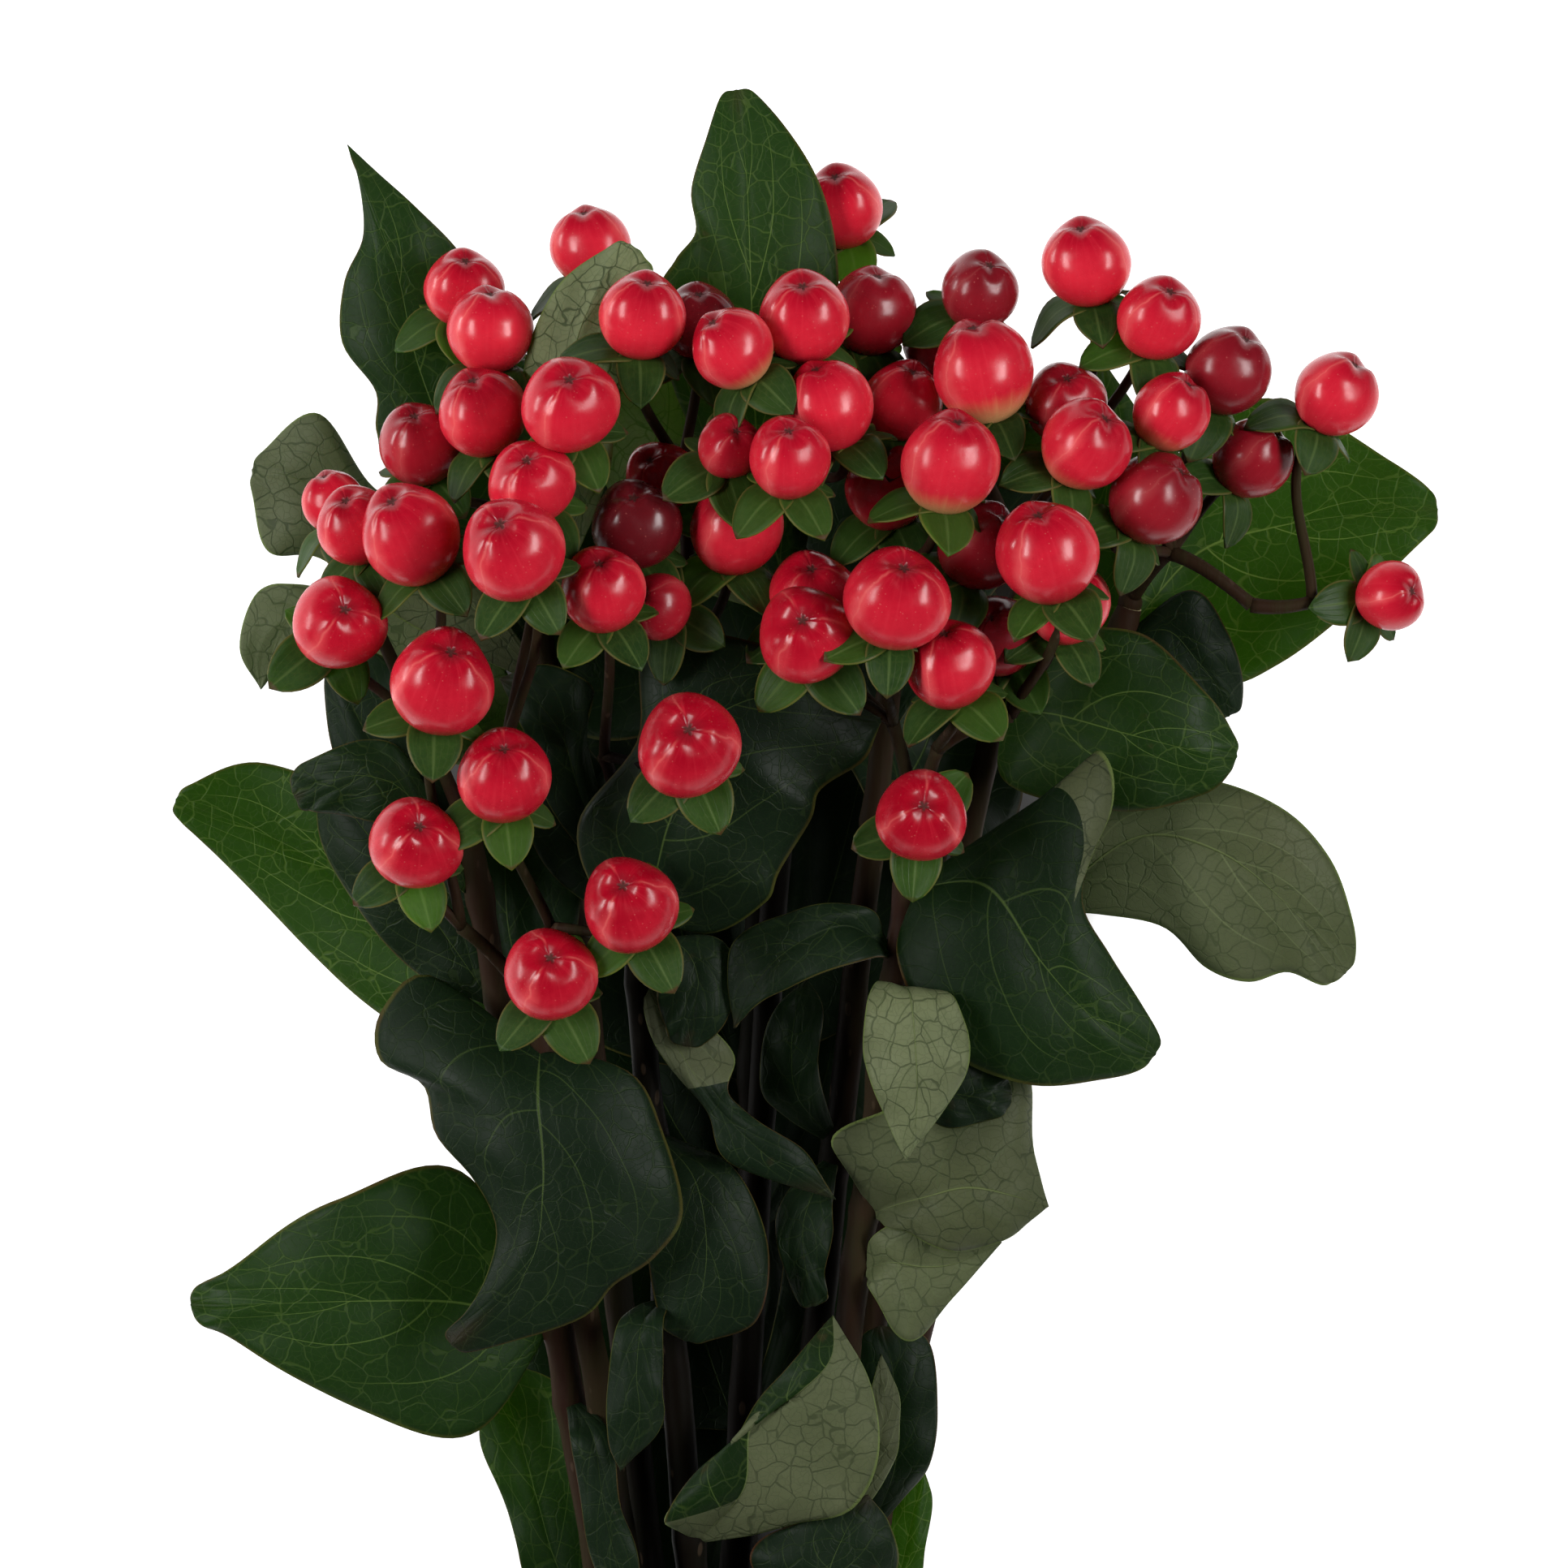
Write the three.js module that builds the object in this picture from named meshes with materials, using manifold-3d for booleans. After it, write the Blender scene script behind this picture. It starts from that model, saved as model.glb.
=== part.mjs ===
// A tied bunch of ten hypericum stems, lying on its back on a flat surface.
// Millimetres. X runs across the bunch, Y from the cut ends to the tip, Z is up from the surface.
// The origin is the middle of the tie's flat underside.
import * as THREE from "three";
import { mergeVertices } from "three/addons/utils/BufferGeometryUtils.js";
import Module from "manifold-3d";

const wasm = await Module();
wasm.setup();

// ---- driving dimensions -------------------------------------------------------------------------

const GAP = 0.3; // between two pieces that touch
const SEAT = 0.6; // from a stem's bark to the foot of a leaf
const BLADE = 0.7; // leaf thickness
const STEM_RADIUS = 2.1; // at the cut end
const STEM_TAPER = 0.6; // lost between the tie and the crown
const STEM_SIDES = 6;
const PITCH = 4.7; // between neighbouring stems in the tie
const ROW = PITCH * Math.sin(Math.PI / 3); // between the rows of stems in the tie
const TIE_WALL = 1.2;
const TIE_WIDTH = 7;
const STRAIGHT = 5; // the stems are straight this far each side of the tie's middle
const FIRST_ROW = TIE_WALL + GAP + STEM_RADIUS; // height of the lowest stems in the tie
const HUB_LENGTH = 2.4; // the knob that a spray's branches leave
const HUB_RADIUS = 1.45;
const BRANCH_RADIUS = 1.0;
const PEDICEL_RADIUS = 0.62;
const PEDICEL_SIDES = 4;
const BRANCH_SIDES = 5;
const BERRY_SIDES = 10;
const BERRY_LOBE = 0.045; // how far the five lobes stand out, of the radius
const SEPAL_LENGTH = 7.6;
const SMALL_SEPAL = 0.7; // the two small sepals, of a large one
const NOTCH = 0.3; // how far out the notch between two sepals is, of a large one
const LEAF_ROWS = 6;
const FUSED_LEAF_ROWS = 4; // of a leaf in its stem's own node
const FOOT_HALF_WIDTH = 0.9; // of a leaf where it leaves its stem

// ---- colours ------------------------------------------------------------------------------------

const FINISHES = {
  bark: { color: 0x6a4a38, roughness: 0.7, metalness: 0 },
  berry: { color: 0xc01f32, roughness: 0.28, metalness: 0 },
  dark: { color: 0x23402c, roughness: 0.45, metalness: 0 },
  bright: { color: 0x3f6e22, roughness: 0.45, metalness: 0 },
  pale: { color: 0x76805a, roughness: 0.6, metalness: 0 },
  band: { color: 0xb99a62, roughness: 0.75, metalness: 0 },
};

// ---- the ten stems ------------------------------------------------------------------------------
// column: place across the tie in half pitches; row: 0 is the lowest; crown: where the spray starts;
// foot: how far the cut end lies below the tie; fan: 1 is straight, more stays narrow for longer.

const STEMS = {
  far_right: { column: 3, row: 1, crown: [49, 186, 40], foot: 146, fan: 1.4 },
  upper_right: { column: 2, row: 0, crown: [36, 188, 33], foot: 150, fan: 1.3 },
  centre_right: { column: 1, row: 1, crown: [20, 180, 41], foot: 143, fan: 1.15 },
  lower_right: { column: 2, row: 2, crown: [22.5, 158, 47], foot: 138, fan: 1.15 },
  top_centre: { column: -1, row: 1, crown: [8, 192, 36], foot: 148, fan: 1.15 },
  centre: { column: 0, row: 2, crown: [-13, 158, 46], foot: 141, fan: 1.1 },
  upper_left: { column: -2, row: 0, crown: [-24, 188, 33], foot: 147, fan: 1.15 },
  left: { column: -3, row: 1, crown: [-32, 157, 46], foot: 144, fan: 1.1 },
  lower_left: { column: -2, row: 2, crown: [-24, 136, 46], foot: 137, fan: 1.15 },
  back: { column: 0, row: 0, crown: [4, 175, 15], foot: 149, fan: 1.1 },
};

// ---- the ten sprays -----------------------------------------------------------------------------
// forks: each is [x, y, z, the fork it grows from], and fork 0 is the crown.
// berries: [x, y, z, radius, lean across, lean along, fork]; a berry's tip points up unless back.

const SPRAYS = {
  far_right: {
    forks: [[54, 193, 52, 0], [64, 186.6, 53, 1], [71.5, 187, 52, 2]],
    berries: [
      [60.9, 215.2, 60.5, 5.4, 0.46, 0.78, 1],
      [74.2, 212.4, 58, 5.2, 0.53, 0.78, 3],
      [53.8, 210, 67, 4.75, 0.5, 0.8, 1],
      [51.8, 199.4, 68, 5.7, 0.66, 0.66, 1],
      [64, 204.5, 56, 4.8, 0.68, 0.62, 1],
      [81, 187.7, 52, 4.2, 0.7, 0.14, 3],
    ],
    back: [[58, 199, 24, 5.2, 0.5, 0.5, 0]],
  },
  upper_right: {
    forks: [[37, 198, 50, 0], [43, 206, 49, 1], [30, 205, 46, 0]],
    berries: [
      [43.6, 228.4, 62, 5.6, -0.15, 0.86, 2],
      [52.4, 221.5, 64, 5.1, 0.3, 0.7, 2],
      [30.5, 225, 60, 4.8, 0.29, 0.7, 3],
      [30.8, 214.9, 68, 6.3, -0.2, 0.93, 3],
      [26, 219, 52, 4.9, 0, 0.8, 3],
      [41, 211.2, 62.5, 5, 0.05, 0.7, 1],
      [43.3, 205.9, 72, 5.5, 0.51, 0.66, 1],
    ],
    back: [[43, 202, 5.6, 5.9, 0.3, 0.6, 0], [30, 208, 13, 5.3, 0, 0.8, 0]],
  },
  centre_right: {
    forks: [[22, 191, 54, 0], [18.5, 193, 50, 0], [27, 187, 54, 0]],
    berries: [
      [21.1, 211.5, 62, 4.9, 0.3, 0.8, 2],
      [26.8, 203.7, 75, 6.1, 0.17, 0.87, 1],
      [19.2, 201.2, 60, 5.4, -0.1, 0.8, 2],
      [30.7, 193.7, 66.5, 5.4, 0.57, 0.67, 3],
    ],
    back: [],
  },
  lower_right: {
    forks: [[25.5, 169, 55, 0], [20, 172, 52, 0], [34.5, 173, 58, 1]],
    berries: [
      [23.4, 160.6, 62, 5.6, 0.06, 0.25, 0],
      [20.3, 187, 77, 6.45, 0.16, 0.69, 2],
      [10, 187.7, 60.5, 5.5, 0, 0.7, 2],
      [9.4, 182.7, 71, 6, -0.1, 0.35, 2],
      [26.8, 179.2, 70, 5.6, -0.15, 0.76, 1],
      [38.6, 192.7, 76, 6.35, -0.19, 0.82, 3],
      [41.3, 186.7, 66, 5.2, 0.2, 0.7, 3],
      [33, 182.7, 61.5, 5, -0.28, 0.5, 3],
    ],
    back: [],
  },
  top_centre: {
    forks: [[8, 202, 53, 0], [14, 210.5, 49, 0]],
    berries: [
      [13.7, 235.7, 43, 5.1, -0.18, 0.76, 2],
      [9, 221.5, 68, 5.7, -0.02, 0.74, 2],
      [17.3, 222.5, 57, 5.4, 0.17, 0.9, 2],
      [12, 210.7, 71.5, 5.5, -0.3, 0.88, 1],
      [7.2, 204.2, 78, 5, 0, 0.73, 1],
      [0, 205.7, 72, 4, 0.24, 0.53, 1],
      [0.3, 217.7, 73, 5, -0.52, 0.7, 2],
    ],
    back: [],
  },
  centre: {
    forks: [[-15.5, 168, 52, 0], [-6, 179, 48, 0], [-6, 203, 54, 2]],
    berries: [
      [-10.7, 221.7, 70, 5.3, 0.13, 0.82, 3],
      [-3.8, 221.2, 60, 4.8, 0, 0.8, 3],
      [-11.5, 196.2, 66, 5.6, -0.06, 0.71, 2],
      [-8.5, 202.2, 57.5, 4.5, -0.34, 0.53, 2],
      [-15.5, 188.2, 73, 5.25, -0.09, 0.67, 1],
      [-8.8, 186.4, 64, 4.2, -0.5, 0.2, 2],
      [0.7, 196, 62, 5.8, 0.1, 0.85, 2],
      [-5, 169.2, 72, 6.4, 0, 0.35, 1],
    ],
    back: [],
  },
  upper_left: {
    forks: [[-27, 198, 50, 0], [-27, 208, 50, 1]],
    berries: [
      [-17.2, 230.7, 50, 5, -0.18, 0.93, 2],
      [-32.8, 225.5, 50, 4.9, 0.07, 0.79, 2],
      [-29.5, 220.2, 59, 5.4, 0.02, 0.94, 2],
      [-30.3, 210, 64, 5.6, -0.23, 0.82, 1],
      [-19.5, 210.7, 74.5, 6, 0, 0.61, 1],
      [-38, 206.2, 56.5, 5.1, -0.14, 0.74, 1],
    ],
    back: [[-34, 202, 5.6, 5.9, -0.3, 0.6, 0], [-20, 206, 12, 5.3, 0, 0.8, 0]],
  },
  left: {
    forks: [[-38, 172, 54, 0], [-43.5, 184, 54, 1], [-28, 167, 54, 0]],
    berries: [
      [-48.7, 199.2, 54, 3.9, -0.32, 0.9, 2],
      [-45.7, 196.2, 62, 5, -0.3, 0.7, 2],
      [-39, 195, 71, 6.2, -0.38, 0.7, 1],
      [-26.3, 193, 81.5, 6.35, -0.28, 0.56, 3],
      [-24.2, 201.2, 73, 5.35, -0.11, 0.62, 3],
      [-47.8, 184.2, 66, 5.75, 0.16, 0.33, 1],
    ],
    back: [],
  },
  lower_left: {
    forks: [[-33, 147, 54, 0], [-22, 147, 53, 0]],
    berries: [
      [-35.1, 176.9, 72, 6.5, 0.2, 0.65, 1],
      [-27.6, 165.5, 68, 5.85, 0.02, 0.66, 2],
      [-38.5, 157.2, 64, 5.7, 0.12, 0.45, 1],
      [-12.2, 149.7, 66, 5.9, -0.16, 0.46, 2],
      [-22, 141.2, 62, 5.75, 0.02, 0.43, 0],
    ],
    back: [],
  },
  back: {
    forks: [[-4, 186, 12, 0], [10, 188, 12, 0]],
    berries: [],
    back: [
      [-7, 200, 5.4, 5.7, -0.2, 0.6, 1],
      [7, 207, 6.2, 5.4, 0.1, 0.7, 2],
      [20, 199, 6.4, 5.6, 0.4, 0.5, 2],
      [-16, 188, 7.5, 5.2, -0.7, 0.2, 1],
    ],
  },
};

// ---- the leaves ---------------------------------------------------------------------------------
// A leaf is hung on three rails from its foot on the stem to its tip: the midrib, and its margins to
// the left and right of somebody walking from foot to tip. at: how far up the stem its foot is.
// The last point of mid is the tip. fused: a small leaf in its stem's own node.

const LEAVES = {
  top_tall: {
    stem: "top_centre", at: 187, finish: "dark",
    mid: [[3.5, 205, 47], [2.6, 224, 51], [2, 239, 51], [0.7, 250, 49]],
    left: [
      [-6.5, 212, 46.5], [-8.7, 224.5, 49], [-6.8, 229, 49.6], [-4.2, 232.5, 50.2],
      [-4.8, 237.6, 50.6], [-3.1, 243.5, 51],
    ],
    right: [
      [11.5, 206, 46], [13.2, 222, 48.7], [12.9, 231, 49.8], [10.7, 239, 50.4], [6.5, 245.8, 50.2],
    ],
  },
  top_left: {
    stem: "upper_left", at: 184, finish: "dark",
    mid: [[-33, 202, 40.5], [-38.5, 216, 43.5], [-41.5, 229, 44], [-47.3, 243.5, 41]],
    left: [
      [-41, 202.5, 41], [-43.6, 208, 41.5], [-43.8, 213.2, 42], [-47.8, 219, 42.8],
      [-47.6, 226.5, 42.8], [-45.3, 232, 42.6], [-45.6, 238, 42],
    ],
    right: [[-24, 204, 38.5], [-25, 217, 40.5], [-33, 229.6, 42], [-39, 235.8, 42]],
  },
  pale_upper_left: {
    stem: "upper_left", at: 186, finish: "pale",
    mid: [[-19.5, 201, 52], [-20, 211, 61], [-18, 221, 64], [-12.2, 230.7, 61.5]],
    left: [[-23.5, 202, 52.5], [-25.5, 214, 59], [-21.5, 225, 61]],
    right: [[-15.5, 201, 52.5], [-13.5, 212, 61], [-9.5, 225.5, 62]],
  },
  pale_behind_centre: {
    stem: "top_centre", at: 186, finish: "pale",
    mid: [[-2, 197, 38.5], [-8, 206, 40.5], [-12, 214, 41], [-16, 222, 40]],
    left: [[-9, 191, 37.5], [-15.5, 202, 40], [-17, 213, 41]],
    right: [[3.5, 202, 39], [-1, 212, 41], [-7, 220, 41.5]],
  },
  pale_far_left: {
    stem: "upper_left", at: 178, finish: "pale",
    mid: [[-38, 193, 32], [-47, 199, 34], [-54, 202.5, 35], [-59.2, 203.5, 33]],
    left: [[-40, 184.5, 31], [-50.4, 192.3, 33], [-57.3, 193.5, 33]],
    right: [[-36, 196, 32], [-44.5, 201.5, 34], [-51, 210.5, 35]],
  },
  small_far_left: {
    stem: "upper_left", at: 165, finish: "pale",
    mid: [[-35, 174, 30], [-46, 181.5, 31.3], [-54.5, 185, 32], [-58.2, 176.3, 30.5]],
    left: [[-36, 168, 29], [-48, 177, 30.3], [-55, 179.8, 31]],
    right: [
      [-31, 183, 28], [-44, 186.8, 29], [-53.5, 189.3, 31], [-58.6, 188.3, 31], [-60.8, 181.5, 31],
    ],
  },
  left_low: {
    stem: "left", at: 132, finish: "bright",
    mid: [[-38, 144, 33], [-48, 153, 31.5], [-58, 158.5, 31.5], [-68.7, 162.7, 33]],
    left: [[-40, 134, 31], [-51.5, 143.3, 29.5], [-63.8, 156, 31]],
    right: [[-34, 151, 35], [-45, 162, 34], [-58, 167.2, 33]],
  },
  left_broad: {
    stem: "left", at: 138, finish: "dark",
    mid: [[-36, 147, 40], [-41, 154, 40.5], [-46, 160, 40.5], [-50.5, 167, 39]],
    left: [[-38.5, 141, 38.5], [-46, 149.2, 38.5], [-50.8, 158.5, 38]],
    right: [[-31.5, 150, 39.5], [-34.5, 160, 40.5], [-41, 166.5, 40.5]],
  },
  left_folded: {
    stem: "left", at: 152, finish: "dark",
    mid: [[-39, 162.5, 50], [-44, 165.5, 51], [-49, 165, 50], [-53.6, 163, 47]],
    left: [[-40, 158.5, 49], [-45, 160.2, 49.5], [-50.5, 161.2, 48]],
    right: [[-39.5, 167.5, 49], [-45, 170, 50], [-52.5, 167.2, 49]],
  },
  left_shaded: {
    stem: "left", at: 150, finish: "dark",
    mid: [[-38, 159, 44.5], [-42, 166, 45.5], [-46, 173, 46], [-49, 182, 45]],
    left: [[-42, 157.5, 43.5], [-48.3, 167, 44], [-50, 176, 45]],
    right: [[-35.3, 165, 45], [-38, 172.5, 46], [-42.5, 180, 46]],
  },
  centre_large: {
    stem: "centre", at: 149, finish: "dark",
    mid: [
      [-9.3, 153.5, 51], [-7.5, 160, 55], [-4, 168, 57.5], [-1, 173.5, 58.5], [7, 175.6, 58],
      [18.5, 172.3, 54],
    ],
    left: [[-16.5, 151.5, 50], [-18.6, 160, 53.5], [-11.3, 170, 57], [-10, 183, 57], [5, 181.3, 59]],
    right: [
      [-2, 146.2, 49], [4.4, 150.2, 52], [6, 153.8, 53.4], [9.9, 160.3, 55], [11, 163.8, 55],
      [16, 167.2, 54.2],
    ],
  },
  centre_left_upper: {
    stem: "centre", at: 152, finish: "dark",
    mid: [[-18.5, 163.5, 47.5], [-20.5, 170, 49.5], [-24, 175, 50], [-28.4, 177.6, 49]],
    left: [[-22, 161.5, 47], [-24, 168, 48.5], [-26.5, 173.5, 49.5]],
    right: [[-17.6, 169.5, 48.5], [-17, 176.5, 50], [-23, 179.3, 50.5]],
  },
  centre_left_lower: {
    stem: "centre", at: 148, finish: "dark",
    mid: [[-18, 155.5, 44], [-20.5, 161.5, 45], [-22, 167, 45.5], [-22.5, 172.8, 44]],
    left: [[-22, 153.5, 43.5], [-25.3, 160.5, 45], [-25, 167.5, 45]],
    right: [[-15.5, 160, 44.5], [-15, 165, 45], [-18, 169.5, 45]],
  },
  centre_low: {
    stem: "centre", at: 145, finish: "dark",
    mid: [[-6, 144.5, 46.2], [-4, 141, 46.7], [-4.5, 137, 46.7], [-5.5, 132.3, 45.7]],
    left: [[-1.5, 145.4, 45.5], [0.8, 141, 46], [-0.5, 135.5, 46]],
    right: [[-8.5, 141.6, 46.7], [-9, 138.5, 46.9], [-8, 134.5, 46.4]],
  },
  centre_twisted: {
    stem: "centre", at: 140, finish: "dark",
    mid: [[-6.5, 132, 44], [-1.5, 124.7, 44.5], [5, 118.5, 45], [13, 113.4, 43]],
    left: [[0, 132, 43.5], [0.2, 125.6, 45.5], [8.6, 119.8, 45]],
    right: [[-9.2, 132.3, 43], [-3, 124.2, 44.5], [0.2, 117.8, 44]],
  },
  right_upper: {
    stem: "upper_right", at: 174, finish: "bright",
    mid: [[40, 173.2, 42], [48, 171, 46.5], [56, 169, 46.5], [62.4, 168, 44]],
    left: [[41, 182.5, 42.5], [50, 183.3, 46.5], [58.5, 176, 45.5]],
    right: [[34.5, 164.5, 39], [48, 161.3, 44], [58, 163.2, 43.5]],
  },
  right_shaded: {
    stem: "far_right", at: 183, finish: "dark",
    mid: [[54, 183.5, 42], [57.5, 180, 41.5], [60.2, 176.5, 40], [61.5, 173, 38]],
    left: [[57, 188.5, 41.5], [61.3, 183.3, 41], [63.2, 177.6, 39]],
    right: [[51.5, 179, 41.5], [53.5, 175.5, 40.5], [57.5, 173.3, 39]],
  },
  far_right_large: {
    stem: "far_right", at: 184, finish: "bright",
    mid: [[57.5, 193, 36.5], [67, 196.3, 37], [78, 198, 38.5], [87.3, 198.5, 40]],
    left: [[54, 203.5, 37], [66, 212.3, 37.5], [81.5, 204.5, 39.5]],
    right: [[60, 177, 34.5], [68, 179.6, 35.3], [77, 186.5, 37], [84.6, 193.8, 39]],
  },
  lower_right_large: {
    stem: "lower_right", at: 152, finish: "bright",
    mid: [[31.5, 152, 51.5], [38, 143, 52.5], [44.5, 136, 51], [52.3, 131.3, 47]],
    left: [[39.5, 167.5, 49.5], [43.4, 160, 50.5], [44.2, 150, 50.5], [50.2, 138.3, 49]],
    right: [[20.5, 143.5, 49], [26, 132.5, 50.3], [36, 127.8, 49.3], [46, 128.2, 47.8]],
  },
  pale_far_right: {
    stem: "far_right", at: 150, finish: "pale",
    mid: [[50, 158, 38], [60, 156.5, 39.5], [69, 149.5, 38.5], [76, 141.2, 35]],
    left: [[45, 165.5, 38], [58, 165.3, 39], [68, 161.7, 39], [74, 155.4, 38], [76.8, 148, 36.8]],
    right: [
      [46, 148.4, 36.3], [53.5, 147, 37], [58.6, 142, 37], [64, 140.2, 36.5], [69, 141.3, 36],
      [73, 139.8, 35.5],
    ],
  },
  curled_tip: {
    stem: "lower_right", at: 140, finish: "pale",
    mid: [[22, 138.5, 54.8], [22.8, 131, 56.5], [22.8, 124, 54.5], [21.6, 118.4, 51]],
    left: [[27.3, 138, 54], [29.4, 132.5, 55], [28.2, 127.5, 54], [24.4, 122.3, 52.5]],
    right: [[17.2, 139.2, 53.8], [16.4, 131.5, 55], [18.8, 124.3, 53.3]],
  },
  arched_over: {
    stem: "lower_right", at: 144, finish: "dark",
    mid: [[14, 147.2, 48.5], [8, 144.8, 50], [3.5, 140.5, 49.5], [0.5, 134.5, 47]],
    left: [[16.6, 143, 50.5], [8, 140, 51], [2.8, 137, 49]],
    right: [[16.5, 149.5, 48], [8, 149, 48.5], [0, 144.5, 48]],
  },
  pale_lower_right: {
    stem: "lower_right", at: 112, finish: "pale",
    mid: [[24, 113.6, 42.5], [29, 114.8, 44], [34, 114, 43], [39.2, 112.5, 40]],
    left: [
      [12.6, 120.8, 42], [19, 124.3, 43], [28, 128.6, 43.5], [36.3, 129.2, 42.3], [37.4, 119, 41],
    ],
    right: [[21.5, 109.3, 41], [28, 106.9, 41.5], [34.5, 108.9, 40.5]],
  },
  lower_left_large: {
    stem: "lower_left", at: 132, finish: "dark",
    mid: [[-23.6, 125.5, 52], [-23, 115, 51.5], [-25, 105, 49], [-34.3, 95.4, 44]],
    left: [
      [-12.6, 129.5, 49.8], [-8.2, 121.5, 48.7], [-5.9, 112, 48], [-9.3, 106.4, 47.2],
      [-14.3, 103, 46.8], [-18, 99, 46.3], [-26, 96.3, 45.3],
    ],
    right: [
      [-37, 141, 44.3], [-43, 136.5, 44.5], [-43.2, 130.8, 45.3], [-37.8, 127.6, 46.3],
      [-36.2, 121.5, 46.6], [-31.6, 116, 46.9], [-28.8, 110, 47], [-30, 104, 46.5],
      [-32.6, 99.6, 45.3],
    ],
  },
  low_left_large: {
    stem: "left", at: 97, finish: "bright",
    mid: [[-33, 100.3, 33.5], [-45, 100.7, 36.5], [-57, 100.4, 36.5], [-66.8, 100.2, 34]],
    left: [[-32, 84, 30.5], [-46, 87.2, 33.5], [-61, 95.5, 34]],
    right: [[-33, 116.5, 36], [-49, 113.3, 38.5], [-61, 105.3, 36]],
  },
  centre_dark: {
    stem: "centre", at: 121, finish: "dark",
    mid: [[-4.5, 116, 42], [-3, 109, 42.5], [-3.5, 102, 41], [-5.5, 95.8, 38.5]],
    left: [[0.5, 117, 41], [4.6, 107.5, 40.5], [3.2, 98.4, 38.5]],
    right: [[-9, 113.5, 41.5], [-10.2, 107, 41], [-8.8, 98.8, 38.5]],
  },
  centre_curled: {
    stem: "centre", at: 101, finish: "dark",
    mid: [[-10.8, 98, 42], [-11.6, 92, 43], [-11.3, 86, 41.5], [-13.6, 79.8, 39]],
    left: [[-8.2, 98.6, 42], [-8.4, 91, 42], [-8.6, 85.3, 40]],
    right: [[-13.6, 98.6, 42], [-15.1, 90.5, 41.5], [-15.1, 83.6, 40]],
  },
  bottom_left: {
    stem: "left", at: 58, finish: "bright",
    mid: [[-21.5, 67, 18], [-24, 75, 19], [-26.5, 84, 20], [-29.5, 93, 20]],
    left: [[-25, 64.5, 18], [-27.6, 74, 19.5], [-31.2, 83.3, 20.5]],
    right: [[-17, 70, 17.5], [-18, 79, 18.5], [-21, 89.5, 20]],
  },
  narrow_folded: {
    stem: "left", at: 88, finish: "dark",
    mid: [[-17, 84, 36.5], [-15.9, 77, 35.5], [-14.6, 70, 33.5], [-12, 59, 29.5]],
    left: [[-14.8, 84.2, 36.5], [-13.5, 75, 35], [-11.3, 68, 32.5]],
    right: [[-19.8, 83.5, 36], [-18.6, 76.5, 35], [-17, 68, 32.5]],
  },
  bottom_pale: {
    stem: "centre", at: 71, finish: "pale",
    mid: [[3.5, 79, 33.5], [5, 86, 37], [9, 92.5, 38.5], [12.6, 98.9, 37]],
    left: [
      [-8.2, 73.3, 33], [-5.6, 77.8, 34], [0, 83.2, 36.5], [3.2, 88, 37.5], [7.3, 92.9, 38.3],
    ],
    right: [[8.5, 73, 32.5], [15.5, 75.4, 33.3], [18.3, 82, 35.5], [17.2, 90.5, 37]],
  },
  bottom_shaded: {
    stem: "far_right", at: 73, finish: "dark",
    mid: [[20.4, 80, 25], [20.4, 87, 27.5], [20, 92.5, 28], [18.5, 97.5, 28]],
    left: [[15.5, 80, 24], [14.6, 88, 26.5], [15.8, 95.5, 28]],
    right: [[24.5, 80, 24.5], [25.6, 88, 26.5], [24.3, 95.8, 27.5]],
  },
  bottom_front: {
    stem: "lower_right", at: 55, finish: "dark",
    mid: [[11.5, 61.5, 28.5], [12, 66.5, 30.5], [14, 71.5, 31], [17, 76.6, 30.5]],
    left: [[5, 63.5, 27.5], [2.5, 69.5, 29.5], [8.5, 73.2, 30.5]],
    right: [[17, 61.5, 27], [20.7, 67.5, 28.5], [19.6, 73, 29.5]],
  },
  behind_upper_right: {
    stem: "centre_right", at: 172, finish: "dark",
    mid: [[24.5, 187, 37], [28, 200, 35.5], [27, 210, 35], [24, 218, 34]],
    left: [[9.5, 191, 31], [9, 204, 31.5], [17, 214, 33]],
    right: [[30.5, 186, 37], [42.5, 203, 34], [34.5, 214, 35]],
  },
  behind_centre: {
    stem: "top_centre", at: 176, finish: "dark",
    mid: [[-4, 184, 30], [-11, 191, 31], [-17, 198, 31.5], [-22, 206, 30]],
    left: [[-15, 170, 28], [-25, 176, 28], [-31, 189, 27.5]],
    right: [[2, 193, 30], [-3, 202, 31], [-11, 207, 31.5]],
  },
  behind_right: {
    stem: "centre_right", at: 160, finish: "dark",
    mid: [[23.5, 168, 28], [26, 175, 27], [28.5, 183, 26.5], [31.5, 192, 26.5]],
    left: [[13, 172, 29], [13, 183, 28], [22.5, 190.5, 27.5]],
    right: [[33.5, 158, 23], [36.2, 167, 22], [35, 181, 23.5]],
  },
  back_left: {
    stem: "back", at: 128, finish: "dark",
    mid: [[-4, 140, 8], [-8, 153, 6.5], [-10, 167, 6], [-12, 182, 7]],
    left: [[-18, 133, 9.5], [-25, 147, 7], [-24, 164, 6.5]],
    right: [[2.5, 143, 7], [3, 156, 7], [-1, 170, 7]],
  },
  back_right: {
    stem: "back", at: 130, finish: "dark",
    mid: [[9, 141, 8], [13, 153, 6.5], [16, 165, 6], [19, 178, 7]],
    left: [[6, 145, 7], [7, 157, 7], [11, 170, 7]],
    right: [[17, 136, 9], [25, 148, 7], [27, 164, 6]],
  },
  back_low_left: {
    stem: "back", at: 84, finish: "dark",
    mid: [[-3, 94, 5], [-6, 105, 5], [-8, 116, 5], [-9, 128, 5]],
    left: [[-22, 86, 4], [-26.5, 98, 4], [-20, 118, 4.5]],
    right: [[5.5, 95, 3], [6.8, 104, 3], [5, 116, 3]],
  },
  back_low_right: {
    stem: "back", at: 86, finish: "dark",
    mid: [[8, 95, 5], [12, 105, 5], [14, 116, 5], [15, 127, 5]],
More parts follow.
